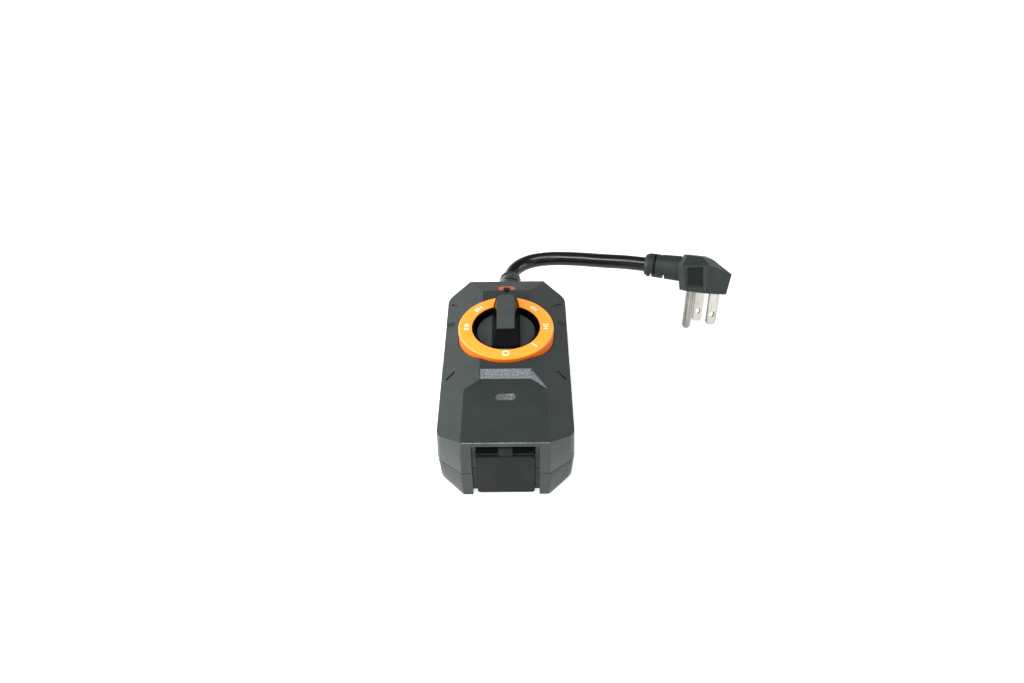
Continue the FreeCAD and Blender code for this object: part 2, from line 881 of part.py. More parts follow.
def dial_ring():
    top = dial_ring_top
    plate = top - dial_ring_plate
    inner_skirt = knob_flange_top + knob_fit
    outside = dial_ring_radius
    inside = dial_ring_inner_radius
    profile = [
        (inside, top - ring_inner_edge),
        (inside + ring_inner_edge, top),
        (outside - ring_outer_edge, top),
        (outside, top - ring_outer_edge),
        (outside, ring_bottom),
        (outside - dial_ring_skirt, ring_bottom),
        (outside - dial_ring_skirt, plate),
        (inside + ring_wall, plate),
        (inside + ring_wall, inner_skirt),
        (inside, inner_skirt),
    ]
    ring = turned(profile, Vector(0, dial_y, 0))
    return ring.cut(ring_notch()).removeSplitter()


def side_profile(points, half_width):
    """A solid with one outline in Y and Z and an even width."""
    corners = [Vector(-half_width, y, z) for y, z in points]
    return Part.Face(Part.makePolygon(corners + corners[:1])).extrude(Vector(2 * half_width, 0, 0))


def grip_solid():
    """The finger grip: flared in the dish, and straight where it runs out through the ring's notch."""
    foot = dish_floor - dish_floor_thickness / 2
    top = dish_floor + grip_height
    inner_bar = side_profile([
        (dial_y - grip_tail_foot, foot),
        (dial_y - grip_tail, top),
        (dial_y + dish_rim_radius, top),
        (dial_y + dish_rim_radius, foot),
    ], grip_foot_half_width)
    flare = (grip_foot_half_width - grip_half_width) / grip_height
    for way in (-1, 1):
        normal = Vector(way, 0, flare).normalize()
        inner_bar = inner_bar.cut(beyond_plane(Vector(way * grip_half_width, 0, top), normal))
    rims = [e for e in inner_bar.Edges if e.BoundBox.ZMin > top - tolerance and e.BoundBox.YMin < dial_y]
    inner_bar = inner_bar.makeFillet(grip_edge_radius, rims)
    inner_bar = inner_bar.common(post(dish_rim_radius, 0, dial_y, foot, top))
    outer_bar = side_profile([
        (dial_y, knob_flange_top + knob_fit + notch_clearance),
        (dial_y, top),
        (dial_y + grip_nose, top),
        (dial_y + grip_nose_foot, dial_ring_top),
        (dial_y + grip_nose_foot, knob_flange_top + knob_fit + notch_clearance),
    ], grip_half_width)
    corners = [e for e in outer_bar.Edges
               if e.BoundBox.YMin > dial_y + grip_nose - tolerance and e.BoundBox.XLength < tolerance]
    outer_bar = outer_bar.makeFillet(grip_nose_radius, corners)
    rims = [e for e in outer_bar.Edges
            if e.BoundBox.ZMin > top - tolerance and e.BoundBox.YMax > dial_y + 1]
    outer_bar = outer_bar.makeFillet(grip_edge_radius, rims)
    root = wide_box(grip_half_width, dial_y, dial_y + dial_ring_radius - dial_ring_skirt - 1,
                    knob_flange_top - 1, knob_flange_top + knob_fit + notch_clearance)
    return inner_bar.fuse([outer_bar, root])


def dial_knob():
    rim = dial_ring_top - rim_drop
    centre = Vector(0, dial_y, 0)
    hub_bottom = knob_flange_top - hub_length
    flange_bottom = knob_flange_top - knob_flange_thickness
    flange_radius = dial_ring_radius - dial_ring_skirt - 2 * knob_fit
    profile = [
        (0, hub_bottom),
        (hub_radius, hub_bottom),
        (hub_radius, flange_bottom - hub_groove_drop),
        (hub_radius + knob_foot, flange_bottom),
        (flange_radius, flange_bottom),
        (flange_radius, knob_flange_top),
        (dish_rim_radius, knob_flange_top),
        (dish_rim_radius, rim),
        (dish_rim_radius - ring_outer_edge, rim),
        (dish_floor_radius, dish_floor),
        (0, dish_floor),
    ]
    knob = turned(profile, centre).fuse(grip_solid())
    bore_top = knob_flange_top - knob_bore_roof
    knob = knob.cut(shaft_bar(switch_shaft_radius + knob_bore_fit, hub_bottom - 1, bore_top))
    seal_z = well_floor_top - seal_drop
    groove = turned([
        (hub_radius - seal_section, seal_z - seal_section / 2 - clip_fit),
        (hub_radius + 1, seal_z - seal_section / 2 - clip_fit),
        (hub_radius + 1, seal_z + seal_section / 2 + clip_fit),
        (hub_radius - seal_section, seal_z + seal_section / 2 + clip_fit),
    ], centre)
    clip_z = collar_bottom - knob_fit
    clip_groove = tube(hub_radius + 1, hub_radius - clip_groove_depth, 0, dial_y,
                       clip_z - clip_thickness - clip_fit, clip_z + clip_fit)
    return knob.cut([groove, clip_groove]).removeSplitter()


def shaft_bar(radius, z0, z1):
    """The switch's D-shaped shaft."""
    bar = post(radius, 0, dial_y, z0, z1)
    flat = box(-radius, radius, dial_y + radius * shaft_flat_share, dial_y + 2 * radius, z0 - 1, z1 + 1)
    return bar.cut(flat)


def dial_seal():
    radius = seal_section / 2
    centre = Vector(0, dial_y, well_floor_top - seal_drop)
    return Part.makeTorus(hub_radius + hub_running_gap / 2 - radius, radius - seal_squeeze, centre)


def dial_clip():
    top = collar_bottom - knob_fit
    inner = hub_radius - clip_groove_depth + clip_fit
    ring = tube(clip_radius, inner, 0, dial_y, top - clip_thickness, top)
    return ring.cut(wide_box(hub_radius / 2, dial_y, dial_y + clip_radius + 1, 0, crown_height))


def switch_body():
    half = switch_size / 2
    body = box(-half, half, dial_y - half, dial_y + half, board_top, switch_top)
    bush = post(switch_bush_radius, 0, dial_y, switch_top, switch_top + switch_bush_height)
    cavity = post(switch_cavity_radius, 0, dial_y, board_top + switch_wall, switch_top - switch_wall)
    bore = post(switch_shaft_radius + switch_shaft_gap, 0, dial_y, board_top + switch_wall, crown_height)
    return body.fuse(bush).cut([cavity, bore]).removeSplitter()


def switch_rotor():
    low = board_top + switch_wall + wiper_thickness + wiper_lift
    flat_start = switch_top + switch_bush_height + switch_wall / 2
    disc = post(rotor_radius, 0, dial_y, low, low + rotor_thickness)
    round_part = post(switch_shaft_radius, 0, dial_y, low, flat_start)
    d_part = shaft_bar(switch_shaft_radius, flat_start, knob_flange_top - 2 * knob_bore_roof)
    return disc.fuse([round_part, d_part]).removeSplitter()


def switch_wiper():
    """The bridging contact under the rotor's disc."""
    top = board_top + switch_wall + wiper_thickness + wiper_lift
    reach = rotor_radius - wiper_thickness
    bar = wide_box(wiper_half_width, dial_y - reach, dial_y + reach, top - wiper_thickness, top)
    tips = [
        post(wiper_half_width / 2, 0, dial_y + side * (reach - wiper_half_width),
             top - wiper_thickness - wiper_lift / 2, top - wiper_thickness)
        for side in (-1, 1)
    ]
    return bar.fuse(tips).removeSplitter()


def lens_with_flange(length, width, y, plate, flange_z):
    flange = stadium(length + 2 * lens_flange_reach, width + 2 * lens_flange_reach, 0, y,
                     flange_z - lens_flange, flange_z)
    return plate.fuse(flange)


def sensor_lens():
    under = panel_height - wall
    plate = stadium(clear_lens_length, clear_lens_width, 0, clear_lens_y,
                    under - lens_flange, panel_height)
    lens = lens_with_flange(clear_lens_length, clear_lens_width, clear_lens_y, plate, under)
    return lens.removeSplitter()


def indicator_lens():
    """The orange lens, cut to the slope of the rear facet, bonded over its lamp."""
    body = stadium(orange_lens_length, orange_lens_width, 0, orange_lens_y,
                   rear_facet_height(orange_lens_y) - wall - lamp_fit, crown_height)
    normal = Vector(0, rear_facet_slope, 1).normalize()
    body = body.cut(beyond_plane(Vector(0, rear_y, panel_height), normal))
    crown_cut = beyond_plane(Vector(0, 0, crown_height), Vector(0, 0, 1))
    return body.cut([crown_cut, arrow_prism(arrow_base, crown_height + 1, arrow_fit)]).removeSplitter()


def dial_arrow():
    prism = arrow_prism(arrow_base, crown_height + arrow_height)
    normal = Vector(0, rear_facet_slope, 1).normalize()
    top = Vector(0, rear_y, panel_height) + normal * arrow_height
    return prism.cut(beyond_plane(top, normal))


def sensor_board():
    top = panel_height - wall - sensor_board_drop
    half_x = sensor_board_length / 2
    half_y = sensor_board_width / 2
    board = wide_box(half_x, clear_lens_y - half_y, clear_lens_y + half_y,
                     top - sensor_board_thickness, top)
    for side in (-1, 1):
        board = board.cut(post(board_screw_radius + board_screw_fit / 2, side * sensor_post_spacing / 2,
                               clear_lens_y, 0, crown_height))
    return board


def sensor_board_screws():
    seat = panel_height - wall - sensor_board_drop - sensor_board_thickness
    return group([
        screw(board_screw_radius - small_screw_step, board_screw_head_radius - 2 * small_screw_step,
              board_screw_head, side * sensor_post_spacing / 2, clear_lens_y,
              seat, seat + small_screw_length)
        for side in (-1, 1)
    ])


def photocell():
    top = panel_height - wall - sensor_board_drop
    return post(photocell_radius, -sensor_spacing / 2, clear_lens_y, top, top + photocell_thickness)


def sensor_lamp():
    top = panel_height - wall - sensor_board_drop
    x = sensor_spacing / 2
    middle = top + sensor_lamp_foot
    body = post(lamp_radius, x, clear_lens_y, top, middle)
    dome = Part.makeSphere(lamp_radius, Vector(x, clear_lens_y, middle))
    return body.fuse(dome.cut(everywhere(0, middle))).removeSplitter()


def status_lamp():
    """The lamp under the orange lens, pushed into its holder from below."""
    bottom = rear_facet_height(orange_lens_y) - wall - lamp_holder_depth
    dome_height = bottom + lamp_holder_depth - lamp_radius - lamp_top_gap
    body = post(lamp_radius, 0, orange_lens_y, bottom, dome_height)
    dome = Part.makeSphere(lamp_radius, Vector(0, orange_lens_y, dome_height))
    flange = post(lamp_flange_radius, 0, orange_lens_y, bottom - lamp_flange_thickness, bottom)
    return body.fuse([dome, flange]).removeSplitter()


def main_board():
    half = board_width / 2
    board = box(-half, half, board_front, board_rear, board_bottom, board_top)
    for x, y in board_screw_places():
        board = board.cut(post(board_screw_radius + board_screw_fit, x, y, 0, crown_height))
    return board


def board_screws():
    return group([
        screw(board_screw_radius, board_screw_head_radius, board_screw_head,
              x, y, board_top, board_top - board_screw_length)
        for x, y in board_screw_places()
    ])


def on_board(place):
    """A place on the board, measured from its front edge, as the part's own X and Y."""
    across, behind_front = place
    return across, board_front + behind_front


def block_on_board(size, place):
    dx, dy, dz = size
    x, y = on_board(place)
    return box(x - dx / 2, x + dx / 2, y - dy / 2, y + dy / 2, board_top, board_top + dz)


def relay():
    body = block_on_board(relay_size, relay_place)
    edges = [e for e in body.Edges if abs(e.Vertexes[0].Z - e.Vertexes[1].Z) > 1]
    return body.makeFillet(0.6, edges)


def film_capacitor():
    body = block_on_board(film_capacitor_size, film_capacitor_place)
    edges = [e for e in body.Edges if min(v.Z for v in e.Vertexes) > board_top + 1]
    return body.makeFillet(0.8, edges)


def can_capacitor():
    x, y = on_board(can_capacitor_place)
    body = post(can_capacitor_radius, x, y, board_top, board_top + can_capacitor_height)
    neck = tube(can_capacitor_radius + 1, can_capacitor_radius - can_neck_depth, x, y,
                board_top + can_neck_height, board_top + can_neck_height + 2 * can_neck_depth)
    return body.cut(neck)


def varistor():
    x, y = on_board(varistor_place)
    centre_z = board_top + varistor_radius + varistor_rise
    half = varistor_thickness / 2
    disc = rod(varistor_radius, Vector(x - half, y, centre_z), Vector(x + half, y, centre_z))
    legs = [post(leg_radius, x, y + side * varistor_radius / 2, board_top, centre_z - half)
            for side in (-1, 1)]
    return disc.fuse(legs)


def fuse_body():
    """The glass fuse between its two end caps."""
    x, y = on_board(fuse_place)
    z = board_top + fuse_radius + fuse_clip_sheet + fuse_rise
    half = fuse_length / 2
    glass_half = half - fuse_cap_length / 4
    glass = rod(fuse_radius - fuse_cap_sheet, Vector(x, y - glass_half, z), Vector(x, y + glass_half, z))
    caps = [
        rod(fuse_radius, Vector(x, y - half, z), Vector(x, y - half + fuse_cap_length, z)),
        rod(fuse_radius, Vector(x, y + half - fuse_cap_length, z), Vector(x, y + half, z)),
    ]
    return glass.fuse(caps).removeSplitter()


def fuse_clips():
    """Two sprung clips that hold the fuse by its caps."""
    x, y = on_board(fuse_place)
    z = board_top + fuse_radius + fuse_clip_sheet + fuse_rise
    outer = fuse_radius + fuse_clip_sheet
    clips = []
    for side in (-1, 1):
        middle = y + side * (fuse_length - fuse_cap_length) / 2
        start = Vector(x, middle - fuse_clip_half, z)
        end = Vector(x, middle + fuse_clip_half, z)
        clip = rod(outer, start, end).cut(rod(fuse_radius, start, end))
        clip = clip.cut(box(x - 2 * outer, x + 2 * outer, y - fuse_length, y + fuse_length,
                            z + fuse_clip_rise, z + 3 * outer))
        foot = box(x - fuse_clip_half, x + fuse_clip_half, middle - fuse_clip_half,
                   middle + fuse_clip_half, board_top, z - fuse_radius - contact_fit / 2)
        clips.append(clip.fuse(foot).removeSplitter())
    return group(clips)


def control_chip():
    return block_on_board(chip_size, chip_place)


def blade_tab(place):
    """An upright push-on tab for a wire."""
    x, y = on_board(place)
    tab = box(x - tab_width / 2, x + tab_width / 2, y - tab_sheet / 2, y + tab_sheet / 2,
              board_top, board_top + tab_height)
    hole_z = board_top + tab_height - tab_hole_drop
    return tab.cut(rod(tab_hole_radius, Vector(x, y - tab_sheet, hole_z), Vector(x, y + tab_sheet, hole_z)))


def board_tabs():
    return group([blade_tab(line_tab_place), blade_tab(load_tab_place)])


def earth_hole():
    """The arched hole for a plug's earth pin: round towards the blades and square below."""
    z = ground_hole_height
    back = outlet_face_y + outlet_face_thickness
    arch = rod(ground_hole_radius, Vector(0, outlet_front - 1, z), Vector(0, back, z))
    foot = wide_box(ground_hole_radius, outlet_front - 1, back, z - ground_hole_radius, z)
    return arch.fuse(foot)


def outlet_housing():
    """The outlet: a shroud that stands proud in the recess, its face, and pockets for the contacts."""
    body = wide_box(outlet_half_width, outlet_front, outlet_back, floor_thickness, outlet_top)
    edges = [e for e in body.Edges
             if abs(e.Vertexes[0].Y - e.Vertexes[1].Y) > 1 and e.Vertexes[0].Z > outlet_top - 1]
    body = body.makeFillet(outlet_edge_radius, edges)
    flange_front = setback_wall_back + flange_gap
    flange = wide_box(outlet_flange_half_width, flange_front, flange_front + outlet_flange_thickness,
                      floor_thickness + 2 * flange_gap, outlet_top - 2 * flange_gap)
    body = body.fuse(flange)
    recess = wide_box(outlet_recess_half_width, outlet_front - 1, outlet_face_y,
                      outlet_recess_bottom, outlet_recess_top)
    body = body.cut(recess)
    for side, height in ((1, hot_slot_height), (-1, neutral_slot_height)):
        x = side * slot_spacing / 2
        body = body.cut(box(x - slot_width / 2, x + slot_width / 2, outlet_front - 1, outlet_back,
                            blades_height - height / 2, blades_height + height / 2))
        body = body.cut(blade_contact_space(x, contact_fit))
    body = body.cut(earth_hole())
    contact_outer = ground_hole_radius + ground_contact_fit + contact_sheet + contact_fit
    face_back = outlet_face_y + outlet_face_thickness
    body = body.cut(rod(contact_outer, Vector(0, face_back, ground_hole_height),
                        Vector(0, outlet_back + 1, ground_hole_height)))
    return body.removeSplitter()


def blade_contact_space(x, extra):
    """The pocket behind a slot, open at the back."""
    half = slot_width / 2 + contact_sheet + extra
    tall = neutral_slot_height / 2 + extra
    start = outlet_face_y + outlet_face_thickness
    return box(x - half, x + half, start, outlet_back + 1, blades_height - tall, blades_height + tall)


def blade_contact(x):
    """A folded clip that grips a blade from both sides, with a tail for its wire."""
    half = slot_width / 2 + contact_sheet
    tall = neutral_slot_height / 2
    start = outlet_face_y + outlet_face_thickness + contact_fit
    end = start + contact_length
    body = box(x - half, x + half, start, end, blades_height - tall, blades_height + tall)
    gap = box(x - slot_width / 2, x + slot_width / 2, start - 1, end - contact_sheet,
              blades_height - tall - 1, blades_height + tall + 1)
    tail = box(x - contact_sheet / 2, x + contact_sheet / 2, end, outlet_back + contact_tail,
               blades_height - contact_tail_half_width, blades_height + contact_tail_half_width)
    return body.cut(gap).fuse(tail).removeSplitter()


def hot_contact():
    return blade_contact(slot_spacing / 2)


def neutral_contact():
    return blade_contact(-slot_spacing / 2)


def ground_contact():
    inner = ground_hole_radius + ground_contact_fit
    start = outlet_face_y + outlet_face_thickness + contact_fit
    end = start + contact_length
    z = ground_hole_height
    sleeve = rod(inner + contact_sheet, Vector(0, start, z), Vector(0, end, z))
    sleeve = sleeve.cut(rod(inner, Vector(0, start - 1, z), Vector(0, end - contact_sheet, z)))
    tail = wide_box(contact_tail_half_width, end - contact_sheet / 2, outlet_back + contact_tail,
                    z - contact_sheet / 2, z + contact_sheet / 2)
    slit = wide_box(slit_half_width, start - 1, end - inner, z, z + 2 * inner)
    return sleeve.cut(slit).fuse(tail).removeSplitter()


def outlet_cover():
    """The rubber cover: a plate with a raised pad behind it and a strap that bends at its knuckle."""
    points = [
        (cover_half_width, cover_bottom),
        (cover_half_width, cover_top),
        (-cover_half_width, cover_top),
        (-cover_half_width, cover_bottom),
    ]
    top_radius = cover_thickness / 3
    radii = [cover_corner_radius, top_radius, top_radius, cover_corner_radius]
    outline = Part.Face(rounded_wire(points, radii, 0))
    plate = outline.extrude(Vector(0, 0, cover_thickness))
    plate.Placement = Placement(Vector(0, cover_back, 0), Rotation(Vector(1, 0, 0), 90))
    pad_half = outlet_recess_half_width - cover_boss_fit
    pad_back = cover_back + cover_gap + cover_boss_depth
    pad = wide_box(pad_half, cover_back, pad_back,
                   outlet_recess_bottom + cover_boss_fit, outlet_recess_top - cover_boss_fit)
    knuckle_front = strap_y - strap_knuckle_radius
    tongue_foot = outlet_top + cover_gap
    tongue = wide_box(strap_half_width, knuckle_front, knuckle_front + strap_thickness,
                      tongue_foot, strap_height)
    bridge = wide_box(strap_half_width, cover_front, cover_back,
                      cover_top - 1, tongue_foot + strap_thickness)
    knuckle = rod(strap_knuckle_radius, Vector(-strap_half_width, strap_y, strap_height),
                  Vector(strap_half_width, strap_y, strap_height))
    return plate.fuse([pad, tongue, bridge, knuckle]).removeSplitter()


def cover_anchor():
    """The strap's fixed end, pulled through a slot and held by its head."""
    start = strap_y + strap_knuckle_radius + strap_gap
    wall_back = jamb_y + pocket_depth + wall
    half = strap_thickness / 2
    head_back = wall_back + strap_head_thickness
    strap = wide_box(strap_half_width, start, head_back, strap_height - half, strap_height + half)
    head = wide_box(strap_half_width + strap_head, wall_back + knob_fit / 2, head_back,
                    strap_height - half - strap_head, strap_height + half + strap_head)
    return strap.fuse(head).removeSplitter()


def tube_path(points):
    """Straight runs joined by tangent arcs, each as large as its two runs allow."""
    corners = [Vector(*p) for p in points]
    edges = []
    radii = []
    here = corners[0]
    for before, corner, after in zip(corners, corners[1:], corners[2:]):
        back = before - corner
        ahead = after - corner
        half_turn = (math.pi - back.getAngle(ahead)) / 2
        reach = bend_share * min(back.Length, ahead.Length)
        radius = reach / math.tan(half_turn)
        start = corner + back.normalize() * reach
        end = corner + ahead.normalize() * reach
        middle_way = (back + ahead).normalize()
        middle = corner + middle_way * (radius / math.cos(half_turn) - radius)
        edges.append(Part.LineSegment(here, start).toShape())
        edges.append(Part.Arc(start, middle, end).toShape())
        radii.append(radius)
        here = end
    edges.append(Part.LineSegment(here, corners[-1]).toShape())
    return Part.Wire(edges), radii


def swept_tube(points, diameter, label):
    """A round tube along a route, whose radii and volume are printed."""
    path, radii = tube_path(points)
    start = Vector(*points[0])
    section = Part.Wire(Part.makeCircle(diameter / 2, start, Vector(*points[1]) - start))
    solid = path.makePipeShell([section], True, True)
    expected = math.pi * (diameter / 2) ** 2 * path.Length
    print(label, "length", round(path.Length, 1), "radii", [round(r, 1) for r in radii],
          "volume share", round(solid.Volume / expected, 4))
    return solid


def cord_strain_relief():
    """The moulded boot: a flange and neck in the casing, and a leaning, tapering tail with slots."""
    flange_end = rear_y - wall - flange_gap
    neck = gland_radius - gland_fit
    flange = rod(gland_flange_radius, Vector(0, flange_end - gland_flange_thickness, cord_height),
                 Vector(0, flange_end, cord_height))
    throat = rod(neck, Vector(0, flange_end, cord_height), Vector(0, rear_y + 1, cord_height))
    profile = [
        Vector(0, 0, 0),
        Vector(neck, 0, 0),
        Vector(neck, relief_collar, 0),
        Vector(relief_tip_radius, relief_length - relief_tip_edge, 0),
        Vector(relief_tip_radius - relief_tip_edge, relief_length, 0),
        Vector(0, relief_length, 0),
    ]
    tail = Part.Face(Part.makePolygon(profile + profile[:1])).revolve(Vector(0, 0, 0), Vector(0, 1, 0), 360)
    pitch = (relief_length - relief_last_slot - relief_first_slot) / (relief_slots - 1)
    reach = neck + 1
    core = cord_radius + relief_core
    for i in range(relief_slots):
        y = relief_first_slot + i * pitch
        for side in (-1, 1):
            low, high = sorted((side * core, side * reach))
            cut = box(-reach, reach, y, y + relief_slot_width, low, high)
            cut.rotate(Vector(0, 0, 0), Vector(0, 1, 0), relief_slot_turns[i % 2])
            tail = tail.cut(cut)
    tail.Placement = Placement(relief_root, Rotation(Vector(0, 0, 1), -relief_lean))
    return tail.fuse([flange, throat]).cut(cord_tail()).removeSplitter()


def cord_tail():
    """The cord under the clamp and inside the boot, mitred where the boot starts to lean."""
    start = Vector(0, cord_inner_end, cord_height)
    straight_way = (relief_root - start).normalize()
    mitre = (straight_way + relief_way).normalize()
    straight = rod(cord_radius, start, relief_root + straight_way * cord_radius)
    leaning = rod(cord_radius, relief_root - relief_way * cord_radius, relief_tip)
    straight = straight.cut(beyond_plane(relief_root, mitre))
    return straight.fuse(leaning.cut(beyond_plane(relief_root, mitre * -1)))


def power_cord():
    """The free cord, from the boot's tip to the plug's end ring."""
    turned_plug = plug_placement()
    end = turned_plug.multVec(plug_point(plug_ring_end, 0, plug_axis_height))
    before = turned_plug.multVec(plug_point(plug_ring_end + cord_last_run, 0, plug_axis_height))
    leaving = relief_tip + relief_way * cord_first_run
    points = [tuple(relief_tip), tuple(leaving)] + cord_route + [tuple(before), tuple(end)]
    return swept_tube(points, cord_diameter, "power_cord")


def cord_clamp():
    bar = wide_box(clamp_half_length, clamp_y - clamp_width / 2, clamp_y + clamp_width / 2,
                   cord_height + clamp_gap, cord_height + clamp_gap + clamp_height)
    bar = bar.cut(rod(cord_radius, Vector(0, 0, cord_height), Vector(0, rear_y, cord_height)))
    for side in (-1, 1):
        bar = bar.cut(post(board_screw_radius + board_screw_fit, side * clamp_screw_x, clamp_y,
                           0, crown_height))
    return bar


def clamp_screws():
    seat = cord_height + clamp_gap + clamp_height
    return group([
        screw(board_screw_radius, board_screw_head_radius, board_screw_head,
              side * clamp_screw_x, clamp_y, seat, seat - clamp_screw_length)
        for side in (-1, 1)
    ])


def bends(start_y, start_z, steps):
    """The bends of an inner wire's route, measured from a height and a place along the casing."""
    return [(x, start_y + along, start_z + up) for x, along, up in steps]


def line_wire():
    x, y = on_board(line_tab_place)
    start = cord_height + core_spread
    tab_z = board_top + tab_height / 2
    route = [(core_spread, cord_inner_end, start), (core_spread, cord_inner_end - core_straight, start)]
    route += bends(cord_inner_end, cord_height, line_wire_bends)
    route += [(x, y + line_tab_approach, tab_z), (x, y + tab_sheet / 2, tab_z)]
    return swept_tube(route, wire_diameter, "line_wire")


def neutral_wire():
    start = cord_height + core_spread
    end_y = outlet_back + contact_tail
    route = [(-core_spread, cord_inner_end, start), (-core_spread, cord_inner_end - core_straight, start)]
    route += bends(cord_inner_end, cord_height, neutral_wire_rear_bends)
    route += bends(end_y, cord_height, neutral_wire_front_bends)
    route += [(-slot_spacing / 2, end_y + neutral_approach, blades_height),
              (-slot_spacing / 2, end_y, blades_height)]
    return swept_tube(route, wire_diameter, "neutral_wire")


def ground_wire():
    start = cord_height - core_drop
    end_y = outlet_back + contact_tail
    route = [(0.0, cord_inner_end, start), (0.0, cord_inner_end - core_straight, start)]
    route += bends(cord_inner_end, floor_thickness, ground_wire_rear_bends)
    route += bends(end_y, floor_thickness, ground_wire_front_bends)
    route += [(0.0, end_y + ground_approach, ground_hole_height), (0.0, end_y, ground_hole_height)]
    return swept_tube(route, wire_diameter, "ground_wire")


def load_wire():
    x, y = on_board(load_tab_place)
    tab_z = board_top + tab_height / 2
    end_y = outlet_back + contact_tail
    route = [(x, y - tab_sheet / 2, tab_z), (x, y - load_tab_approach, tab_z)]
    route += bends(y, tab_z, load_wire_bends)
    route += [(slot_spacing / 2, end_y + load_approach, blades_height),
              (slot_spacing / 2, end_y, blades_height)]
    return swept_tube(route, wire_diameter, "load_wire")


def lamp_wire():
    """The pair of leads from the status lamp down to the main board."""
    lamp_bottom = rear_facet_height(orange_lens_y) - wall - lamp_holder_depth - lamp_flange_thickness
    landing_x, landing_setback = lamp_wire_landing
    landing_y = board_rear - landing_setback
    route = [(0.0, orange_lens_y, lamp_bottom), (0.0, orange_lens_y, lamp_bottom - lead_straight)]
    route += bends(orange_lens_y, lamp_bottom, lamp_wire_bends)
    route += [(landing_x, landing_y, board_top + lamp_lead_rise), (landing_x, landing_y, board_top)]
    return swept_tube(route, lamp_wire_diameter, "lamp_wire")


def sensor_wire():
    """The leads from the light sensor's board down to the main board."""
    board_z = panel_height - wall - sensor_board_drop - sensor_board_thickness
    lead_y = clear_lens_y + sensor_lead_setback
    route = [(0.0, lead_y, board_z), (0.0, lead_y, board_z - lead_straight)]
    route += bends(lead_y, board_top + sensor_lead_rise, sensor_wire_bends)
    route += [(sensor_landing_x, lead_y, board_top + sensor_lead_rise)]
    route += [(sensor_landing_x, lead_y, board_top)]
    return swept_tube(route, lamp_wire_diameter, "sensor_wire")


def plug_placement():
    """The plug's own frame: X along the blade row, Y towards the earth pin, Z out along the pins."""
    out = Vector(plug_pin_direction).normalize()
    row = Vector(plug_blade_row)
    row = (row - out * row.dot(out)).normalize()
    earth = out.cross(row)
    matrix = FreeCAD.Matrix(
        row.x, earth.x, out.x, plug_face.x,
        row.y, earth.y, out.y, plug_face.y,
        row.z, earth.z, out.z, plug_face.z,
        0, 0, 0, 1)
    return Placement(matrix)


def plug_point(along, across, height):
    """A point in the plug's frame, from its place along and across the cord's axis and its height."""
    share = 1 / math.sqrt(2)
    side = across + plug_offset
    return Vector((side - along) * share, (side + along) * share, -height)


def blade_shape(x, sheet_in):
    """A flat blade with a hole, its corners cut at the tip and its root in the moulding."""
    half = blade_width / 2
    points = [
        Vector(x - blade_sheet / 2, -half, -sheet_in),
        Vector(x - blade_sheet / 2, half, -sheet_in),
        Vector(x - blade_sheet / 2, half, blade_length - blade_tip_cut),
        Vector(x - blade_sheet / 2, half - blade_tip_cut, blade_length),
        Vector(x - blade_sheet / 2, -half + blade_tip_cut, blade_length),
        Vector(x - blade_sheet / 2, -half, blade_length - blade_tip_cut),
    ]
    blade = Part.Face(Part.makePolygon(points + points[:1])).extrude(Vector(blade_sheet, 0, 0))
    hole = rod(blade_hole_radius, Vector(x - blade_sheet, 0, blade_hole_place),
               Vector(x + blade_sheet, 0, blade_hole_place))
    return blade.cut(hole)


def earth_shape():
    """The round earth pin, with a domed tip, and a flange and a thin stem in the moulding."""
    face = Vector(0, ground_offset, 0)
    tip_centre = Vector(0, ground_offset, earth_pin_length - earth_pin_radius)
    flange_end = Vector(0, ground_offset, -earth_root_depth)
    stem = rod(earth_stem_radius, Vector(0, ground_offset, -blade_root), flange_end)
    flange = rod(earth_root_radius, flange_end, face)
    body = rod(earth_pin_radius, face, tip_centre)
    tip = Part.makeSphere(earth_pin_radius, tip_centre)
    return stem.fuse([flange, body, tip]).removeSplitter()


def cut_by_plane(body, first, second, third):
    """The body without what lies beyond the plane through three points."""
    normal = (second - first).cross(third - first).normalize()
    inside = plug_point(plug_roof_front, 0, plug_axis_height / 2)
    if (inside - first).dot(normal) > 0:
        normal = normal * -1
    return body.cut(beyond_plane(first, normal))


def plug_outline(height):
    """The plug's outline at one height above the pin face. Its walls lean outwards with height."""
    lean = (height - plug_gauge_height) * plug_draft
    cord_lean = (height - plug_gauge_height) * plug_cord_face_draft
    half = plug_half_width + lean
    nose = plug_nose + lean * math.sqrt(2)
    places = [
        (-nose, 0),
        (half - nose, half),
        (plug_side_end + cord_lean, half),
        (plug_cord_face + cord_lean, plug_cord_face_half_width + lean),
        (plug_cord_face + cord_lean, -plug_cord_face_half_width - lean),
        (plug_side_end + cord_lean, -half),
        (half - nose, -half),
    ]
    points = [plug_point(along, across, height) for along, across in places]
    return Part.makePolygon(points + points[:1])


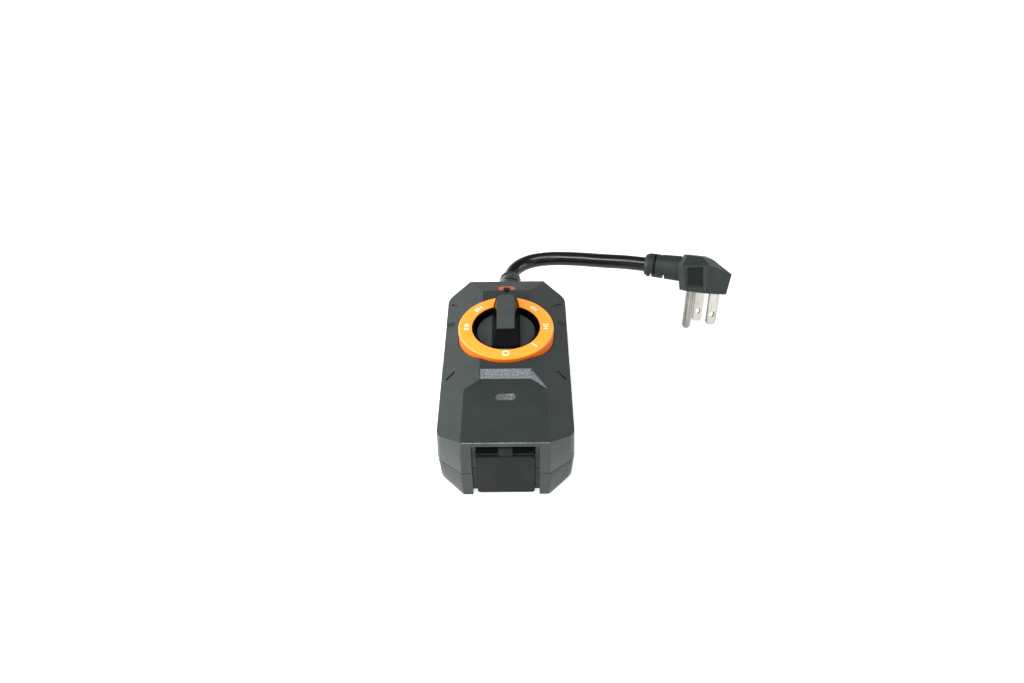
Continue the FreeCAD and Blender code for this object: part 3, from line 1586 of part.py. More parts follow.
def plug_form():
    """The moulded plug in its own frame, with a roof of facets that falls to the nose."""
    body = Part.makeLoft([plug_outline(0), plug_outline(plug_roof_height + 1)], True, True)
    for way in (-1, 1):
        shoulder = plug_point(plug_cheek_start, way * plug_half_width, plug_cheek_height)
        shoulder_end = plug_point(plug_side_end, way * plug_half_width, plug_side_end_height)
        nose = plug_point(-plug_nose, 0, plug_nose_height)
        roof_front = plug_point(plug_roof_front, way * plug_roof_half_width, plug_roof_height)
        roof_rear = plug_point(plug_roof_rear, way * plug_roof_half_width, plug_roof_height)
        cord_corner = plug_point(plug_cord_face, way * plug_cord_face_half_width, plug_cord_face_height)
        body = cut_by_plane(body, shoulder, shoulder_end, roof_front)
        body = cut_by_plane(body, shoulder, nose, roof_front)
        body = cut_by_plane(body, shoulder_end, cord_corner, roof_rear)
    ridge = plug_point(-plug_ridge_length, 0, plug_ridge_height)
    fronts = [plug_point(plug_roof_front, way * plug_roof_half_width, plug_roof_height)
              for way in (-1, 1)]
    body = cut_by_plane(body, fronts[0], fronts[1], ridge)
    ends = [plug_point(plug_cord_face, way * plug_cord_face_half_width, plug_cord_face_height)
            for way in (-1, 1)]
    end_roof = plug_point(plug_end_roof_place, plug_end_roof_half_width, plug_roof_height)
    body = cut_by_plane(body, ends[0], ends[1], end_roof)
    body = body.cut(beyond_plane(Vector(0, 0, -plug_roof_height), Vector(0, 0, -1)))
    face_edges = [e for e in body.Edges if e.BoundBox.ZMin > -tolerance]
    return body.makeFillet(plug_edge_radius, face_edges)


def plug_recesses():
    """The finger recess in each side face, with sloping walls down to a smaller floor."""
    cuts = []
    for way in (-1, 1):
        floor, outside = [], []
        for (rim_along, rim_height), (along, height) in zip(plug_recess_rim, plug_recess_floor):
            wall_place = plug_half_width + (height - plug_gauge_height) * plug_draft
            rim_place = plug_half_width + (rim_height - plug_gauge_height) * plug_draft
            inner = plug_point(along, way * (wall_place - plug_recess_depth), height)
            rim = plug_point(rim_along, way * rim_place, rim_height)
            floor.append(inner)
            outside.append(rim + (rim - inner))
        wires = [Part.makePolygon(corners + corners[:1]) for corners in (floor, outside)]
        cuts.append(Part.makeLoft(wires, True, True))
    return cuts


def plug_neck_slot(place, turn):
    """The space of a slot part of the way round the neck, its middle at a turn from straight across."""
    ring = Part.makeCylinder(plug_neck_radius + 1, plug_slot_width, Vector(0, 0, place),
                             Vector(0, 0, 1), plug_slot_span)
    ring.rotate(Vector(0, 0, 0), Vector(0, 0, 1), turn - plug_slot_span / 2)
    core = Part.makeCylinder(cord_radius + relief_core, plug_slot_width, Vector(0, 0, place))
    slot = ring.cut(core)
    origin = plug_point(0, 0, plug_axis_height)
    across = plug_point(0, 1, plug_axis_height) - origin
    rise = plug_point(0, 0, plug_axis_height + 1) - origin
    along = plug_point(1, 0, plug_axis_height) - origin
    slot.Placement = Placement(FreeCAD.Matrix(
        across.x, rise.x, along.x, origin.x,
        across.y, rise.y, along.y, origin.y,
        across.z, rise.z, along.z, origin.z,
        0, 0, 0, 1)).multiply(slot.Placement)
    return slot


def plug_strain_relief_form():
    """The neck on the cord, moulded with the plug, with staggered slots and a rounded end."""
    profile = [
        (plug_cord_face - 1, plug_neck_radius),
        (plug_neck_end, plug_neck_end_radius),
        (plug_ring_end - plug_ring_edge, plug_neck_end_radius),
        (plug_ring_end, plug_neck_end_radius - plug_ring_edge / 2),
    ]
    start = plug_point(profile[0][0], 0, plug_axis_height)
    end = plug_point(profile[-1][0], 0, plug_axis_height)
    points = [start] + [plug_point(d, 0, plug_axis_height + r) for d, r in profile] + [end]
    body = Part.Face(Part.makePolygon(points + points[:1])).revolve(start, (end - start).normalize(), 360)
    body = body.cut([plug_neck_slot(place, turn) for place, turn in plug_neck_slots])
    return body.cut(plug_form())


def plug_body():
    solid = plug_form().cut(plug_recesses())
    return placed(solid.cut([
        blade_shape(-slot_spacing / 2, blade_root),
        blade_shape(slot_spacing / 2, blade_root),
        earth_shape(),
    ]))


def plug_strain_relief():
    return placed(plug_strain_relief_form())


def placed(shape):
    shape.Placement = plug_placement()
    return shape


def plug_neutral_blade():
    return placed(blade_shape(-slot_spacing / 2, blade_root))


def plug_hot_blade():
    return placed(blade_shape(slot_spacing / 2, blade_root))


def plug_earth_pin():
    return placed(earth_shape())


NODES = {
    "upper_casing": upper_casing,
    "lower_casing": lower_casing,
    "casing_seal": casing_seal,
    "casing_screws": casing_screws,
    "dial_ring": dial_ring,
    "dial_knob": dial_knob,
    "dial_seal": dial_seal,
    "dial_clip": dial_clip,
    "switch_body": switch_body,
    "switch_rotor": switch_rotor,
    "switch_wiper": switch_wiper,
    "dial_arrow": dial_arrow,
    "sensor_lens": sensor_lens,
    "indicator_lens": indicator_lens,
    "sensor_board": sensor_board,
    "sensor_board_screws": sensor_board_screws,
    "photocell": photocell,
    "sensor_lamp": sensor_lamp,
    "status_lamp": status_lamp,
    "main_board": main_board,
    "board_screws": board_screws,
    "relay": relay,
    "film_capacitor": film_capacitor,
    "can_capacitor": can_capacitor,
    "varistor": varistor,
    "fuse": fuse_body,
    "fuse_clips": fuse_clips,
    "control_chip": control_chip,
    "board_tabs": board_tabs,
    "outlet_housing": outlet_housing,
    "hot_contact": hot_contact,
    "neutral_contact": neutral_contact,
    "ground_contact": ground_contact,
    "outlet_cover": outlet_cover,
    "cover_anchor": cover_anchor,
    "line_wire": line_wire,
    "neutral_wire": neutral_wire,
    "ground_wire": ground_wire,
    "load_wire": load_wire,
    "lamp_wire": lamp_wire,
    "sensor_wire": sensor_wire,
    "cord_clamp": cord_clamp,
    "clamp_screws": clamp_screws,
    "cord_strain_relief": cord_strain_relief,
    "cord_tail": cord_tail,
    "power_cord": power_cord,
    "plug_strain_relief": plug_strain_relief,
    "plug_body": plug_body,
    "plug_hot_blade": plug_hot_blade,
    "plug_neutral_blade": plug_neutral_blade,
    "plug_earth_pin": plug_earth_pin,
}

os.makedirs("parts", exist_ok=True)
for name, make in NODES.items():
    shape = make()
    shape.exportStep("parts/" + name + ".step")
    print(name, "solids", len(shape.Solids), "volume", round(shape.Volume, 1), "valid", shape.isValid())
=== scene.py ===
import json
import math
import random

import bmesh
import bpy
from mathutils import Matrix, Vector


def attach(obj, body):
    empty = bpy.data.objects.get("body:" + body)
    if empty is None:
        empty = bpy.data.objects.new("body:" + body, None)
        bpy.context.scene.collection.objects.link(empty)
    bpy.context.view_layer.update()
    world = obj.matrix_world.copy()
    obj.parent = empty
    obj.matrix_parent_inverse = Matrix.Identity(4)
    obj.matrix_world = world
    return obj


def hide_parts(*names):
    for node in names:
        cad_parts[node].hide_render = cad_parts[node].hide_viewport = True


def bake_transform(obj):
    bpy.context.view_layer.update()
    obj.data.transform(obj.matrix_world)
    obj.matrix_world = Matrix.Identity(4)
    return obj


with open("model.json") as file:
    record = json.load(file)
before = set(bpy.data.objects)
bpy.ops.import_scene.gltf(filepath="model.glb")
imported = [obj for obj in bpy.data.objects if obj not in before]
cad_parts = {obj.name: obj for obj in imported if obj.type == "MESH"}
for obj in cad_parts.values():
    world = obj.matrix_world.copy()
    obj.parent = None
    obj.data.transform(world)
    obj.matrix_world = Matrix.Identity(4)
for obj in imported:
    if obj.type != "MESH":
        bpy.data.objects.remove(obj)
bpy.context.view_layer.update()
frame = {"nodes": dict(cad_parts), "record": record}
nodes = frame["nodes"]
scene = bpy.context.scene
scene.view_settings.view_transform = "Standard"

MM = 0.001


def mm(x, y, z):
    """A point in millimetres of the part's frame, as Blender's metres."""
    return Vector((x * MM, y * MM, z * MM))


# Camera, at the photograph's place and angle

CAMERA_PLACE = mm(7.834, -309.04, 318.62)
CAMERA_PITCH = math.radians(41.543)
CAMERA_YAW = math.radians(-0.870)
CAMERA_ROLL = math.radians(-1.109)
SENSOR_WIDTH = 36.0
FOCAL_LENGTH = 29.277
CLIP_START = 0.01
CLIP_END = 20


def make_camera():
    forward = Vector((
        math.sin(CAMERA_YAW) * math.cos(CAMERA_PITCH),
        math.cos(CAMERA_YAW) * math.cos(CAMERA_PITCH),
        -math.sin(CAMERA_PITCH),
    ))
    level_right = Vector((math.cos(CAMERA_YAW), -math.sin(CAMERA_YAW), 0))
    level_up = level_right.cross(forward)
    right = level_right * math.cos(CAMERA_ROLL) + level_up * math.sin(CAMERA_ROLL)
    up = level_up * math.cos(CAMERA_ROLL) - level_right * math.sin(CAMERA_ROLL)
    data = bpy.data.cameras.new("camera")
    data.sensor_width = SENSOR_WIDTH
    data.lens = FOCAL_LENGTH
    data.clip_start = CLIP_START
    data.clip_end = CLIP_END
    camera = bpy.data.objects.new("camera", data)
    scene.collection.objects.link(camera)
    turn = Matrix((right, up, -forward)).transposed().to_4x4()
    camera.matrix_world = Matrix.Translation(CAMERA_PLACE) @ turn
    scene.camera = camera


make_camera()


# The free cord, along the source's route, from the tip of its boot to the plug's end ring

CORD_DIAMETER = 8.4
CORD_STEPS_AROUND = 10
CORD_STEPS_ALONG = 14
CORD_ROUTE = [
    (1.570, 89.509, 15.4),
    (1.806, 94.003, 15.4),
    (5.0, 100.0, 15.7),
    (10.6, 104.6, 16.3),
    (17.8, 106.5, 17.2),
    (28.5, 105.7, 18.7),
    (42.5, 102.2, 20.6),
    (56.5, 97.1, 22.7),
    (71.23, 92.41, 25.00),
    (81.565, 88.75, 25.90),
]


def make_cord():
    """The jacket. Its points' radii give the thickness, so its bevel is 1 deep."""
    data = bpy.data.curves.new("power_cord_flex", "CURVE")
    data.dimensions = "3D"
    data.bevel_depth = 1.0
    data.bevel_resolution = CORD_STEPS_AROUND
    data.resolution_u = CORD_STEPS_ALONG
    data.use_fill_caps = True
    spline = data.splines.new("NURBS")
    spline.points.add(len(CORD_ROUTE) - 1)
    for point, place in zip(spline.points, CORD_ROUTE):
        point.co = (*mm(*place), 1)
        point.radius = CORD_DIAMETER / 2 * MM
    spline.order_u = 3
    spline.use_endpoint_u = True
    cord = bpy.data.objects.new("power_cord_flex", data)
    scene.collection.objects.link(cord)
    return cord


cord = make_cord()
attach(cord, "casing")
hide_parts("power_cord")


# Shader nodes


def new_material(name):
    material = bpy.data.materials.new(name)
    material.use_nodes = True
    return material, material.node_tree, material.node_tree.nodes["Principled BSDF"]


def object_noise(tree, scale, detail=2.0, roughness=0.5):
    """Noise in the part's own coordinates, scale in features to the metre."""
    place = tree.nodes.new("ShaderNodeTexCoord")
    noise = tree.nodes.new("ShaderNodeTexNoise")
    noise.inputs["Scale"].default_value = scale
    noise.inputs["Detail"].default_value = detail
    noise.inputs["Roughness"].default_value = roughness
    tree.links.new(place.outputs["Object"], noise.inputs["Vector"])
    return noise.outputs["Fac"]


def spread_between(tree, value, low, high, out_low=0, out_high=1):
    """The value's range from low to high, laid onto another range."""
    laid = tree.nodes.new("ShaderNodeMapRange")
    laid.inputs["From Min"].default_value = low
    laid.inputs["From Max"].default_value = high
    laid.inputs["To Min"].default_value = out_low
    laid.inputs["To Max"].default_value = out_high
    tree.links.new(value, laid.inputs["Value"])
    return laid.outputs["Result"]


def combined(tree, operation, first, second):
    """The sum, product or greater of two values."""
    result = tree.nodes.new("ShaderNodeMath")
    result.operation = operation
    tree.links.new(first, result.inputs[0])
    tree.links.new(second, result.inputs[1])
    return result.outputs["Value"]


def mixed_colour(tree, factor, colour_a, colour_b):
    mix = tree.nodes.new("ShaderNodeMix")
    mix.data_type = "RGBA"
    tree.links.new(factor, mix.inputs["Factor"])
    for socket, colour in ((mix.inputs["A"], colour_a), (mix.inputs["B"], colour_b)):
        if isinstance(colour, bpy.types.NodeSocket):
            tree.links.new(colour, socket)
        else:
            socket.default_value = (*colour, 1)
    return mix.outputs["Result"]


def bump(tree, shader, height, distance):
    """Relief from a height value, distance deep."""
    relief = tree.nodes.new("ShaderNodeBump")
    relief.inputs["Strength"].default_value = 1.0
    relief.inputs["Distance"].default_value = distance
    tree.links.new(height, relief.inputs["Height"])
    tree.links.new(relief.outputs["Normal"], shader.inputs["Normal"])


def srgb(red, green, blue):
    """A linear colour from 0 to 255 display values, by the curve of the sRGB standard."""
    shares = [value / 255 for value in (red, green, blue)]
    return tuple(v / 12.92 if v <= 0.04045 else ((v + 0.055) / 1.055) ** 2.4 for v in shares)


def shaded(colour, factor):
    return tuple(min(1.0, v * factor) for v in colour)


def mottled(tree, colour, dark, light, scale, detail=4, low=0.3, high=0.7):
    """Patches of the colour, dark to light times as bright."""
    patches = spread_between(tree, object_noise(tree, scale, detail), low, high)
    return mixed_colour(tree, patches, shaded(colour, dark), shaded(colour, light))


def smear_roughness(tree, shader, noise, smooth, rough):
    """Uneven sheen, between smooth and rough, by a noise."""
    uneven = spread_between(tree, noise, 0.3, 0.7, smooth, rough)
    tree.links.new(uneven, shader.inputs["Roughness"])


def facing_up(tree, low, high):
    """0 where the normal's height is under low, rising to 1 where it is over high."""
    geometry = tree.nodes.new("ShaderNodeNewGeometry")
    parts = tree.nodes.new("ShaderNodeSeparateXYZ")
    tree.links.new(geometry.outputs["Normal"], parts.inputs["Vector"])
    return spread_between(tree, parts.outputs["Z"], low, high)


EDGE_RADIUS = 0.11
EDGE_GAIN = 60.0


def edge_highlight_mask(tree):
    """0 on open faces, rising to 1 along the edges and creases, where a highlight is painted."""
    rounded = tree.nodes.new("ShaderNodeBevel")
    rounded.inputs["Radius"].default_value = EDGE_RADIUS * MM
    geometry = tree.nodes.new("ShaderNodeNewGeometry")
    alike = tree.nodes.new("ShaderNodeVectorMath")
    alike.operation = "DOT_PRODUCT"
    tree.links.new(rounded.outputs["Normal"], alike.inputs[0])
    tree.links.new(geometry.outputs["Normal"], alike.inputs[1])
    return spread_between(tree, alike.outputs["Value"], 1.0, 1.0 - 1 / EDGE_GAIN)


# Materials

ACRYLIC_IOR = 1.49
GRAIN_ROUGHNESS = 0.6


def moulded(
    name, colour, roughness, grain_size, grain_depth, specular=0.5, variation=0.12, edge=None
):
    """Plastic or rubber: mottled, of uneven sheen, finely grained and, if asked, paler at edges, a
    painted highlight.
    """
    material, tree, shader = new_material(name)
    colours = mottled(tree, colour, 1 - variation, 1 + variation, scale=90)
    # The edge colour paints a highlight along the edges and creases.
    if edge:
        colours = mixed_colour(tree, edge_highlight_mask(tree), colours, edge)
    tree.links.new(colours, shader.inputs["Base Color"])
    smears = object_noise(tree, scale=160, detail=3)
    smear_roughness(tree, shader, smears, roughness - 0.05, roughness + 0.06)
    grain = object_noise(tree, 1 / (grain_size * MM), 3, GRAIN_ROUGHNESS)
    bump(tree, shader, grain, grain_depth * MM)
    shader.inputs["Specular IOR Level"].default_value = specular
    return material


def metal(name, colour, roughness, streak=(1, 1, 6)):
    """Plated or drawn metal with fine streaks and slightly tarnished patches."""
    material, tree, shader = new_material(name)
    shader.inputs["Metallic"].default_value = 1.0
    colours = mottled(tree, colour, 0.86, 1.0, scale=220, low=0.35)
    tree.links.new(colours, shader.inputs["Base Color"])
    place = tree.nodes.new("ShaderNodeTexCoord")
    stretch = tree.nodes.new("ShaderNodeMapping")
    stretch.inputs["Scale"].default_value = streak
    lines = tree.nodes.new("ShaderNodeTexNoise")
    lines.inputs["Scale"].default_value = 900
    lines.inputs["Detail"].default_value = 3
    tree.links.new(place.outputs["Object"], stretch.inputs["Vector"])
    tree.links.new(stretch.outputs["Vector"], lines.inputs["Vector"])
    smear_roughness(tree, shader, lines.outputs["Fac"], roughness - 0.06, roughness + 0.1)
    bump(tree, shader, lines.outputs["Fac"], 0.004 * MM)
    return material


def clear(name, colour, roughness, transmission):
    """A clear or tinted moulded lens, a little uneven."""
    material, tree, shader = new_material(name)
    colours = mottled(tree, colour, 0.9, 1.0, scale=500, detail=2, low=0.35, high=0.65)
    tree.links.new(colours, shader.inputs["Base Color"])
    smears = object_noise(tree, scale=900, detail=3)
    smear_roughness(tree, shader, smears, roughness * 0.7, roughness * 1.3)
    shader.inputs["Transmission Weight"].default_value = transmission
    shader.inputs["IOR"].default_value = ACRYLIC_IOR
    bump(tree, shader, object_noise(tree, scale=700), 0.01 * MM)
    return material


KNOB_GREY = srgb(58, 63, 61)
# The near-black of the knob's walls and the grip's sides: painted shade.
KNOB_PAINTED_SHADE = (0.0015, 0.0015, 0.0015)
ORANGE = (0.99, 0.30, 0.035)
# The ring's sides: a deeper orange as painted shade.
ORANGE_PAINTED_SHADE = (0.46, 0.09, 0.001)
DIAL_AXIS = (0, 14.8)
DISH_FLOOR_RADIUS = 15.6
ABOVE_DISH = 44.0
DISH_FADE = 0.2


def inside_dish(tree):
    """1 over the dish's floor and the top of the grip, and 0 on the dish's rim."""
    place = tree.nodes.new("ShaderNodeTexCoord")
    parts = tree.nodes.new("ShaderNodeSeparateXYZ")
    tree.links.new(place.outputs["Object"], parts.inputs["Vector"])
    flat = tree.nodes.new("ShaderNodeCombineXYZ")
    tree.links.new(parts.outputs["X"], flat.inputs["X"])
    tree.links.new(parts.outputs["Y"], flat.inputs["Y"])
    away = tree.nodes.new("ShaderNodeVectorMath")
    away.operation = "DISTANCE"
    tree.links.new(flat.outputs["Vector"], away.inputs[0])
    away.inputs[1].default_value = mm(*DIAL_AXIS, 0)
    floor_end = (DISH_FLOOR_RADIUS + DISH_FADE) * MM
    near = spread_between(tree, away.outputs["Value"], DISH_FLOOR_RADIUS * MM, floor_end, 1, 0)
    grip_start = (ABOVE_DISH + DISH_FADE) * MM
    on_grip = spread_between(tree, parts.outputs["Z"], ABOVE_DISH * MM, grip_start)
    return combined(tree, "MAXIMUM", near, on_grip)


def knob_material():
    """Matt grained grey where it looks up, and polished near-black on the walls and the grip's
    sides, chosen by how each face looks up: painted shade.
    """
    material, tree, shader = new_material("knob_plastic")
    up = combined(tree, "MULTIPLY", facing_up(tree, 0.86, 0.94), inside_dish(tree))
    grey = mottled(tree, KNOB_GREY, 0.9, 1.08, scale=110)
    tree.links.new(mixed_colour(tree, up, KNOB_PAINTED_SHADE, grey), shader.inputs["Base Color"])
    tree.links.new(spread_between(tree, up, 0, 1, 0.2, 0.55), shader.inputs["Roughness"])
    grain = object_noise(tree, 3800, 3, GRAIN_ROUGHNESS)
    bump(tree, shader, combined(tree, "MULTIPLY", grain, up), 0.02 * MM)
    shader.inputs["Specular IOR Level"].default_value = 0.05
    return material


def ring_material():
    """Smooth orange, paler on top and deeper down the sides by how each face looks up: painted
    shade on the sides.
    """
    material, tree, shader = new_material("dial_plastic")
    up = facing_up(tree, 0.3, 0.95)
    pale = mottled(tree, ORANGE, 0.95, 1.04, scale=90)
    # Faces that look less upwards take the deeper orange, a painted shade.
    tree.links.new(mixed_colour(tree, up, ORANGE_PAINTED_SHADE, pale), shader.inputs["Base Color"])
    smear_roughness(tree, shader, object_noise(tree, scale=160, detail=3), 0.4, 0.5)
    bump(tree, shader, object_noise(tree, 4500, 3, GRAIN_ROUGHNESS), 0.008 * MM)
    shader.inputs["Specular IOR Level"].default_value = 0.22
    return material


BOARD_COLOURS = {
    "Color1": (0.012, 0.10, 0.035, 1),
    "Color2": (0.018, 0.14, 0.05, 1),
    "Mortar": (0.03, 0.22, 0.09, 1),
}


def circuit_board():
    """Green lacquer over paler tracks."""
    material, tree, shader = new_material("board")
    place = tree.nodes.new("ShaderNodeTexCoord")
    tracks = tree.nodes.new("ShaderNodeTexBrick")
    tracks.inputs["Scale"].default_value = 260
    tracks.inputs["Mortar Size"].default_value = 0.03
    for socket, colour in BOARD_COLOURS.items():
        tracks.inputs[socket].default_value = colour
    tree.links.new(place.outputs["Object"], tracks.inputs["Vector"])
    tree.links.new(tracks.outputs["Color"], shader.inputs["Base Color"])
    shader.inputs["Roughness"].default_value = 0.4
    bump(tree, shader, tracks.outputs["Fac"], 0.03 * MM)
    return material


def grainy_material(name, pit_shade_colour, glint_colour):
    """A coarse spark-eroded face: raised cells painted bright as glints, over pits painted darker
    as shade.
    """
    material, tree, shader = new_material(name)
    place = tree.nodes.new("ShaderNodeTexCoord")
    cells = tree.nodes.new("ShaderNodeTexVoronoi")
    cells.inputs["Scale"].default_value = 1900
    tree.links.new(place.outputs["Object"], cells.inputs["Vector"])
    pits = spread_between(tree, cells.outputs["Distance"], 0.1, 0.75, 1, 0)
    noise = spread_between(tree, object_noise(tree, scale=2600), 0.35, 0.65)
    raised_glints = combined(tree, "MULTIPLY", pits, noise)
    colours = mixed_colour(tree, raised_glints, pit_shade_colour, glint_colour)
    tree.links.new(colours, shader.inputs["Base Color"])
    tree.links.new(spread_between(tree, noise, 0, 1, 0.5, 0.3), shader.inputs["Roughness"])
    bump(tree, shader, raised_glints, 0.12 * MM)
    return material


# Each row is colour, roughness, grain size and depth in mm, specular level, variation, edge colour
# (a painted highlight)
MOULDED_MATERIALS = {
    "casing_plastic": (srgb(35, 42, 40), 0.42, 0.28, 0.04, 0.38, 0.09, srgb(74, 82, 79)),
    # The bevels' edge materials, paler than their parts: painted highlights.
    "casing_edge_painted_highlight": (srgb(84, 93, 90), 0.34, 0.28, 0.01, 0.7, 0.06),
    # The bead on the panel's front edge, paler than the casing: a painted highlight.
    "lip_painted_highlight": (srgb(84, 96, 98), 0.3, 0.28, 0.01, 0.7, 0.3),
    "knob_edge_painted_highlight": (srgb(20, 22, 21), 0.3, 0.28, 0.004, 0.4, 0.06),
    "arrow_plastic": (srgb(7, 8, 8), 0.5, 0.3, 0.01, 0.12),
    "switch_plastic": (srgb(34, 34, 35), 0.5, 0.3, 0.02),
    "outlet_plastic": (srgb(38, 44, 43), 0.38, 0.3, 0.015, 0.36, 0.07, srgb(92, 104, 106)),
    "cover_rubber": (srgb(27, 31, 28), 0.6, 0.35, 0.045, 0.13, 0.14),
    "relief_rubber": (srgb(44, 51, 48), 0.42, 0.3, 0.018, 0.36, 0.08),
    # A dark sheet in the plug's finger recesses: painted shade.
    "recess_painted_shade": (srgb(12, 17, 16), 0.5, 0.3, 0.018, 0.12, 0.1),
    "plug_rubber": (srgb(30, 37, 35), 0.55, 0.3, 0.018, 0.18, 0.08, srgb(72, 80, 77)),
    # The plug's bevels, paler than its rubber: a painted highlight.
    "plug_edge_painted_highlight": (srgb(66, 74, 71), 0.45, 0.28, 0.01, 0.5, 0.06),
    "cord_jacket": (srgb(9, 13, 13), 0.24, 0.9, 0.0015, 0.36, 0.1),
    "seal_rubber": (srgb(30, 30, 31), 0.6, 0.3, 0.02),
    "component_black": (srgb(32, 32, 34), 0.35, 0.4, 0.01),
    "component_amber": (srgb(150, 78, 30), 0.3, 0.5, 0.02),
    "component_blue": (srgb(30, 62, 130), 0.3, 0.5, 0.02),
    "wire_black": (srgb(28, 28, 28), 0.4, 0.5, 0.01),
    "wire_white": (srgb(205, 205, 198), 0.4, 0.5, 0.01),
    "wire_green": (srgb(30, 120, 55), 0.4, 0.5, 0.01),
    "print_white": (srgb(244, 243, 238), 0.5, 0.15, 0.004, 0.4, 0.03),
}
MATERIALS = {name: moulded(name, *row) for name, row in MOULDED_MATERIALS.items()}
MATERIALS.update({
    "dial_plastic": ring_material(),
    "knob_plastic": knob_material(),
    "screw_steel": metal("screw_steel", (0.58, 0.58, 0.57), 0.36, (1, 1, 3)),
    "contact_brass": metal("contact_brass", (0.72, 0.52, 0.22), 0.3),
    "pin_metal": metal("pin_metal", (0.26, 0.255, 0.225), 0.34, (3, 1, 1)),
    "clear_lens": clear("clear_lens", (0.60, 0.65, 0.645), 0.08, 0.87),
    "amber_lens": clear("amber_lens", srgb(168, 82, 24), 0.5, 0.05),
    "lamp_lens": clear("lamp_lens", (0.8, 0.82, 0.8), 0.2, 0.5),
    "fuse_glass": clear("fuse_glass", (0.88, 0.9, 0.88), 0.05, 0.9),
    "board": circuit_board(),
    # The step's grain in two copies: paler on the middle band and darker on the side facets as
    # painted shade, both with painted glints.
    "step_grain": grainy_material("step_grain", srgb(58, 67, 70), srgb(140, 152, 157)),
    "step_grain_side_painted_shade": grainy_material("step_grain_side_painted_shade", srgb(33, 41, 42), srgb(86, 97, 100)),
})
cord.data.materials.append(MATERIALS["cord_jacket"])


# The CAD's own nodes: materials and bevelled edges, some bevels with a painted highlight

NODE_MATERIALS = {
    "dial_arrow": "arrow_plastic",
    "plug_body": "plug_rubber",
    "plug_strain_relief": "plug_rubber",
}


def dress_nodes():
    """Each CAD node takes the material of its slot, or the one that is named for it."""
    for part in frame["record"]["subparts"]:
        name = part["node"]
        material = NODE_MATERIALS.get(name, part["material_slot"])
        nodes[name].data.materials.clear()
        nodes[name].data.materials.append(MATERIALS[material])


dress_nodes()

BEVEL_WIDTHS = {
    "upper_casing": 0.26,
    "lower_casing": 0.22,
    "outlet_housing": 0.45,
    "dial_ring": 0.22,
    "dial_knob": 0.15,
    "cord_strain_relief": 0.2,
    "plug_body": 0.2,
    "plug_strain_relief": 0.2,
    "plug_hot_blade": 0.1,
    "plug_neutral_blade": 0.1,
    "plug_earth_pin": 0.1,
    "dial_arrow": 0.1,
    "sensor_lens": 0.1,
    "indicator_lens": 0.12,
}
# Paler materials for the bevels: painted highlights along the edges.
EDGE_HIGHLIGHT_MATERIALS = {
    "upper_casing": "casing_edge_painted_highlight",
    "outlet_housing": "casing_edge_painted_highlight",
    "plug_body": "plug_edge_painted_highlight",
    "dial_knob": "knob_edge_painted_highlight",
}
WELD_DISTANCE = 0.002 * MM
BEVEL_SEGMENTS = 2
BEVEL_ANGLE = math.radians(24)
CASING_BEVEL_ANGLE = math.radians(9)


def bevel_nodes():
    """Narrow bevels on the visible nodes, some with a paler edge material in the second place, a
    painted highlight.
    """
    for name, width in BEVEL_WIDTHS.items():
        node = nodes[name]
        weld = node.modifiers.new("weld", "WELD")
        weld.merge_threshold = WELD_DISTANCE
        bevel = node.modifiers.new("edges", "BEVEL")
        bevel.width = width * MM
        bevel.segments = BEVEL_SEGMENTS
        bevel.limit_method = "ANGLE"
        bevel.angle_limit = CASING_BEVEL_ANGLE if name == "upper_casing" else BEVEL_ANGLE
        if name in EDGE_HIGHLIGHT_MATERIALS:
            node.data.materials.append(MATERIALS[EDGE_HIGHLIGHT_MATERIALS[name]])
            bevel.material = 1


bevel_nodes()


# Mesh pieces


def round_points(radius, centre, start, sweep, steps):
    """Points in the plane along an arc, its angles in degrees."""
    turns = [math.radians(start + sweep * i / steps) for i in range(steps + 1)]
    return [
        (centre[0] + radius * math.cos(turn), centre[1] + radius * math.sin(turn))
        for turn in turns
    ]


def rounded_outline(half_width, bottom, top, corner, steps):
    """The outline of an upright rectangle with rounded corners, anticlockwise."""
    outline = []
    for x, z, start in (
        (half_width - corner, bottom + corner, -90),
        (half_width - corner, top - corner, 0),
        (corner - half_width, top - corner, 90),
        (corner - half_width, bottom + corner, 180),
    ):
        outline += round_points(corner, (x, z), start, 90, steps)
    return outline


def bridge(builder, rings):
    """Faces between each ring of corners and the next."""
    for here, there in zip(rings, rings[1:]):
        for i in range(len(here)):
            j = (i + 1) % len(here)
            builder.faces.new((here[i], here[j], there[j], there[i]))


def solid_through(builder, sections):
    """A solid through sections that have the same number of corners, in metres."""
    rings = [[builder.verts.new(place) for place in section] for section in sections]
    bridge(builder, rings)
    builder.faces.new(rings[0][::-1])
    builder.faces.new(rings[-1])


def turn_outwards(builder):
    bmesh.ops.recalc_face_normals(builder, faces=builder.faces)


def new_piece(name, builder, material, body):
    """A mesh piece from a bmesh, with its material, riding on a body if one is named."""
    data = bpy.data.meshes.new(name)
    builder.to_mesh(data)
    builder.free()
    data.materials.append(MATERIALS[material])
    piece = bpy.data.objects.new(name, data)
    scene.collection.objects.link(piece)
    if body:
        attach(piece, body)
    return piece


# Marks on the dial ring, each drawn upright in millimetres about its own centre

RING_TOP = 41.9
MARK_RADIUS = 20.2
MARK_RISE = 0.05
LETTER_HEIGHT = 3.7
LETTER_STEPS = 4
LETTER_THINNING = 0.02
LETTER_SPACING = 1.08
LETTER_TURNS = {"2H": 0, "4H": 45, "8H": 135}
MOON_AND_SUN_TURN = 180
OFF_TURN = 270
ON_TURN = 315
OFF_OUTER = 1.8
OFF_INNER = 1.3
OFF_STEPS = 40
ON_HALF_WIDTH = 0.2
ON_HALF_HEIGHT = 1.7
MOON_RADIUS = 1.15
MOON_CENTRE = (-1.25, 0)
BITE_RADIUS = 0.92
BITE_CENTRE = (-0.72, 0)
SUN_RADIUS = 0.72
SUN_CENTRE = (1.25, 0)
RAY_COUNT = 8
RAY_START = 0.95
RAY_END = 1.38
RAY_HALF_WIDTH = 0.14


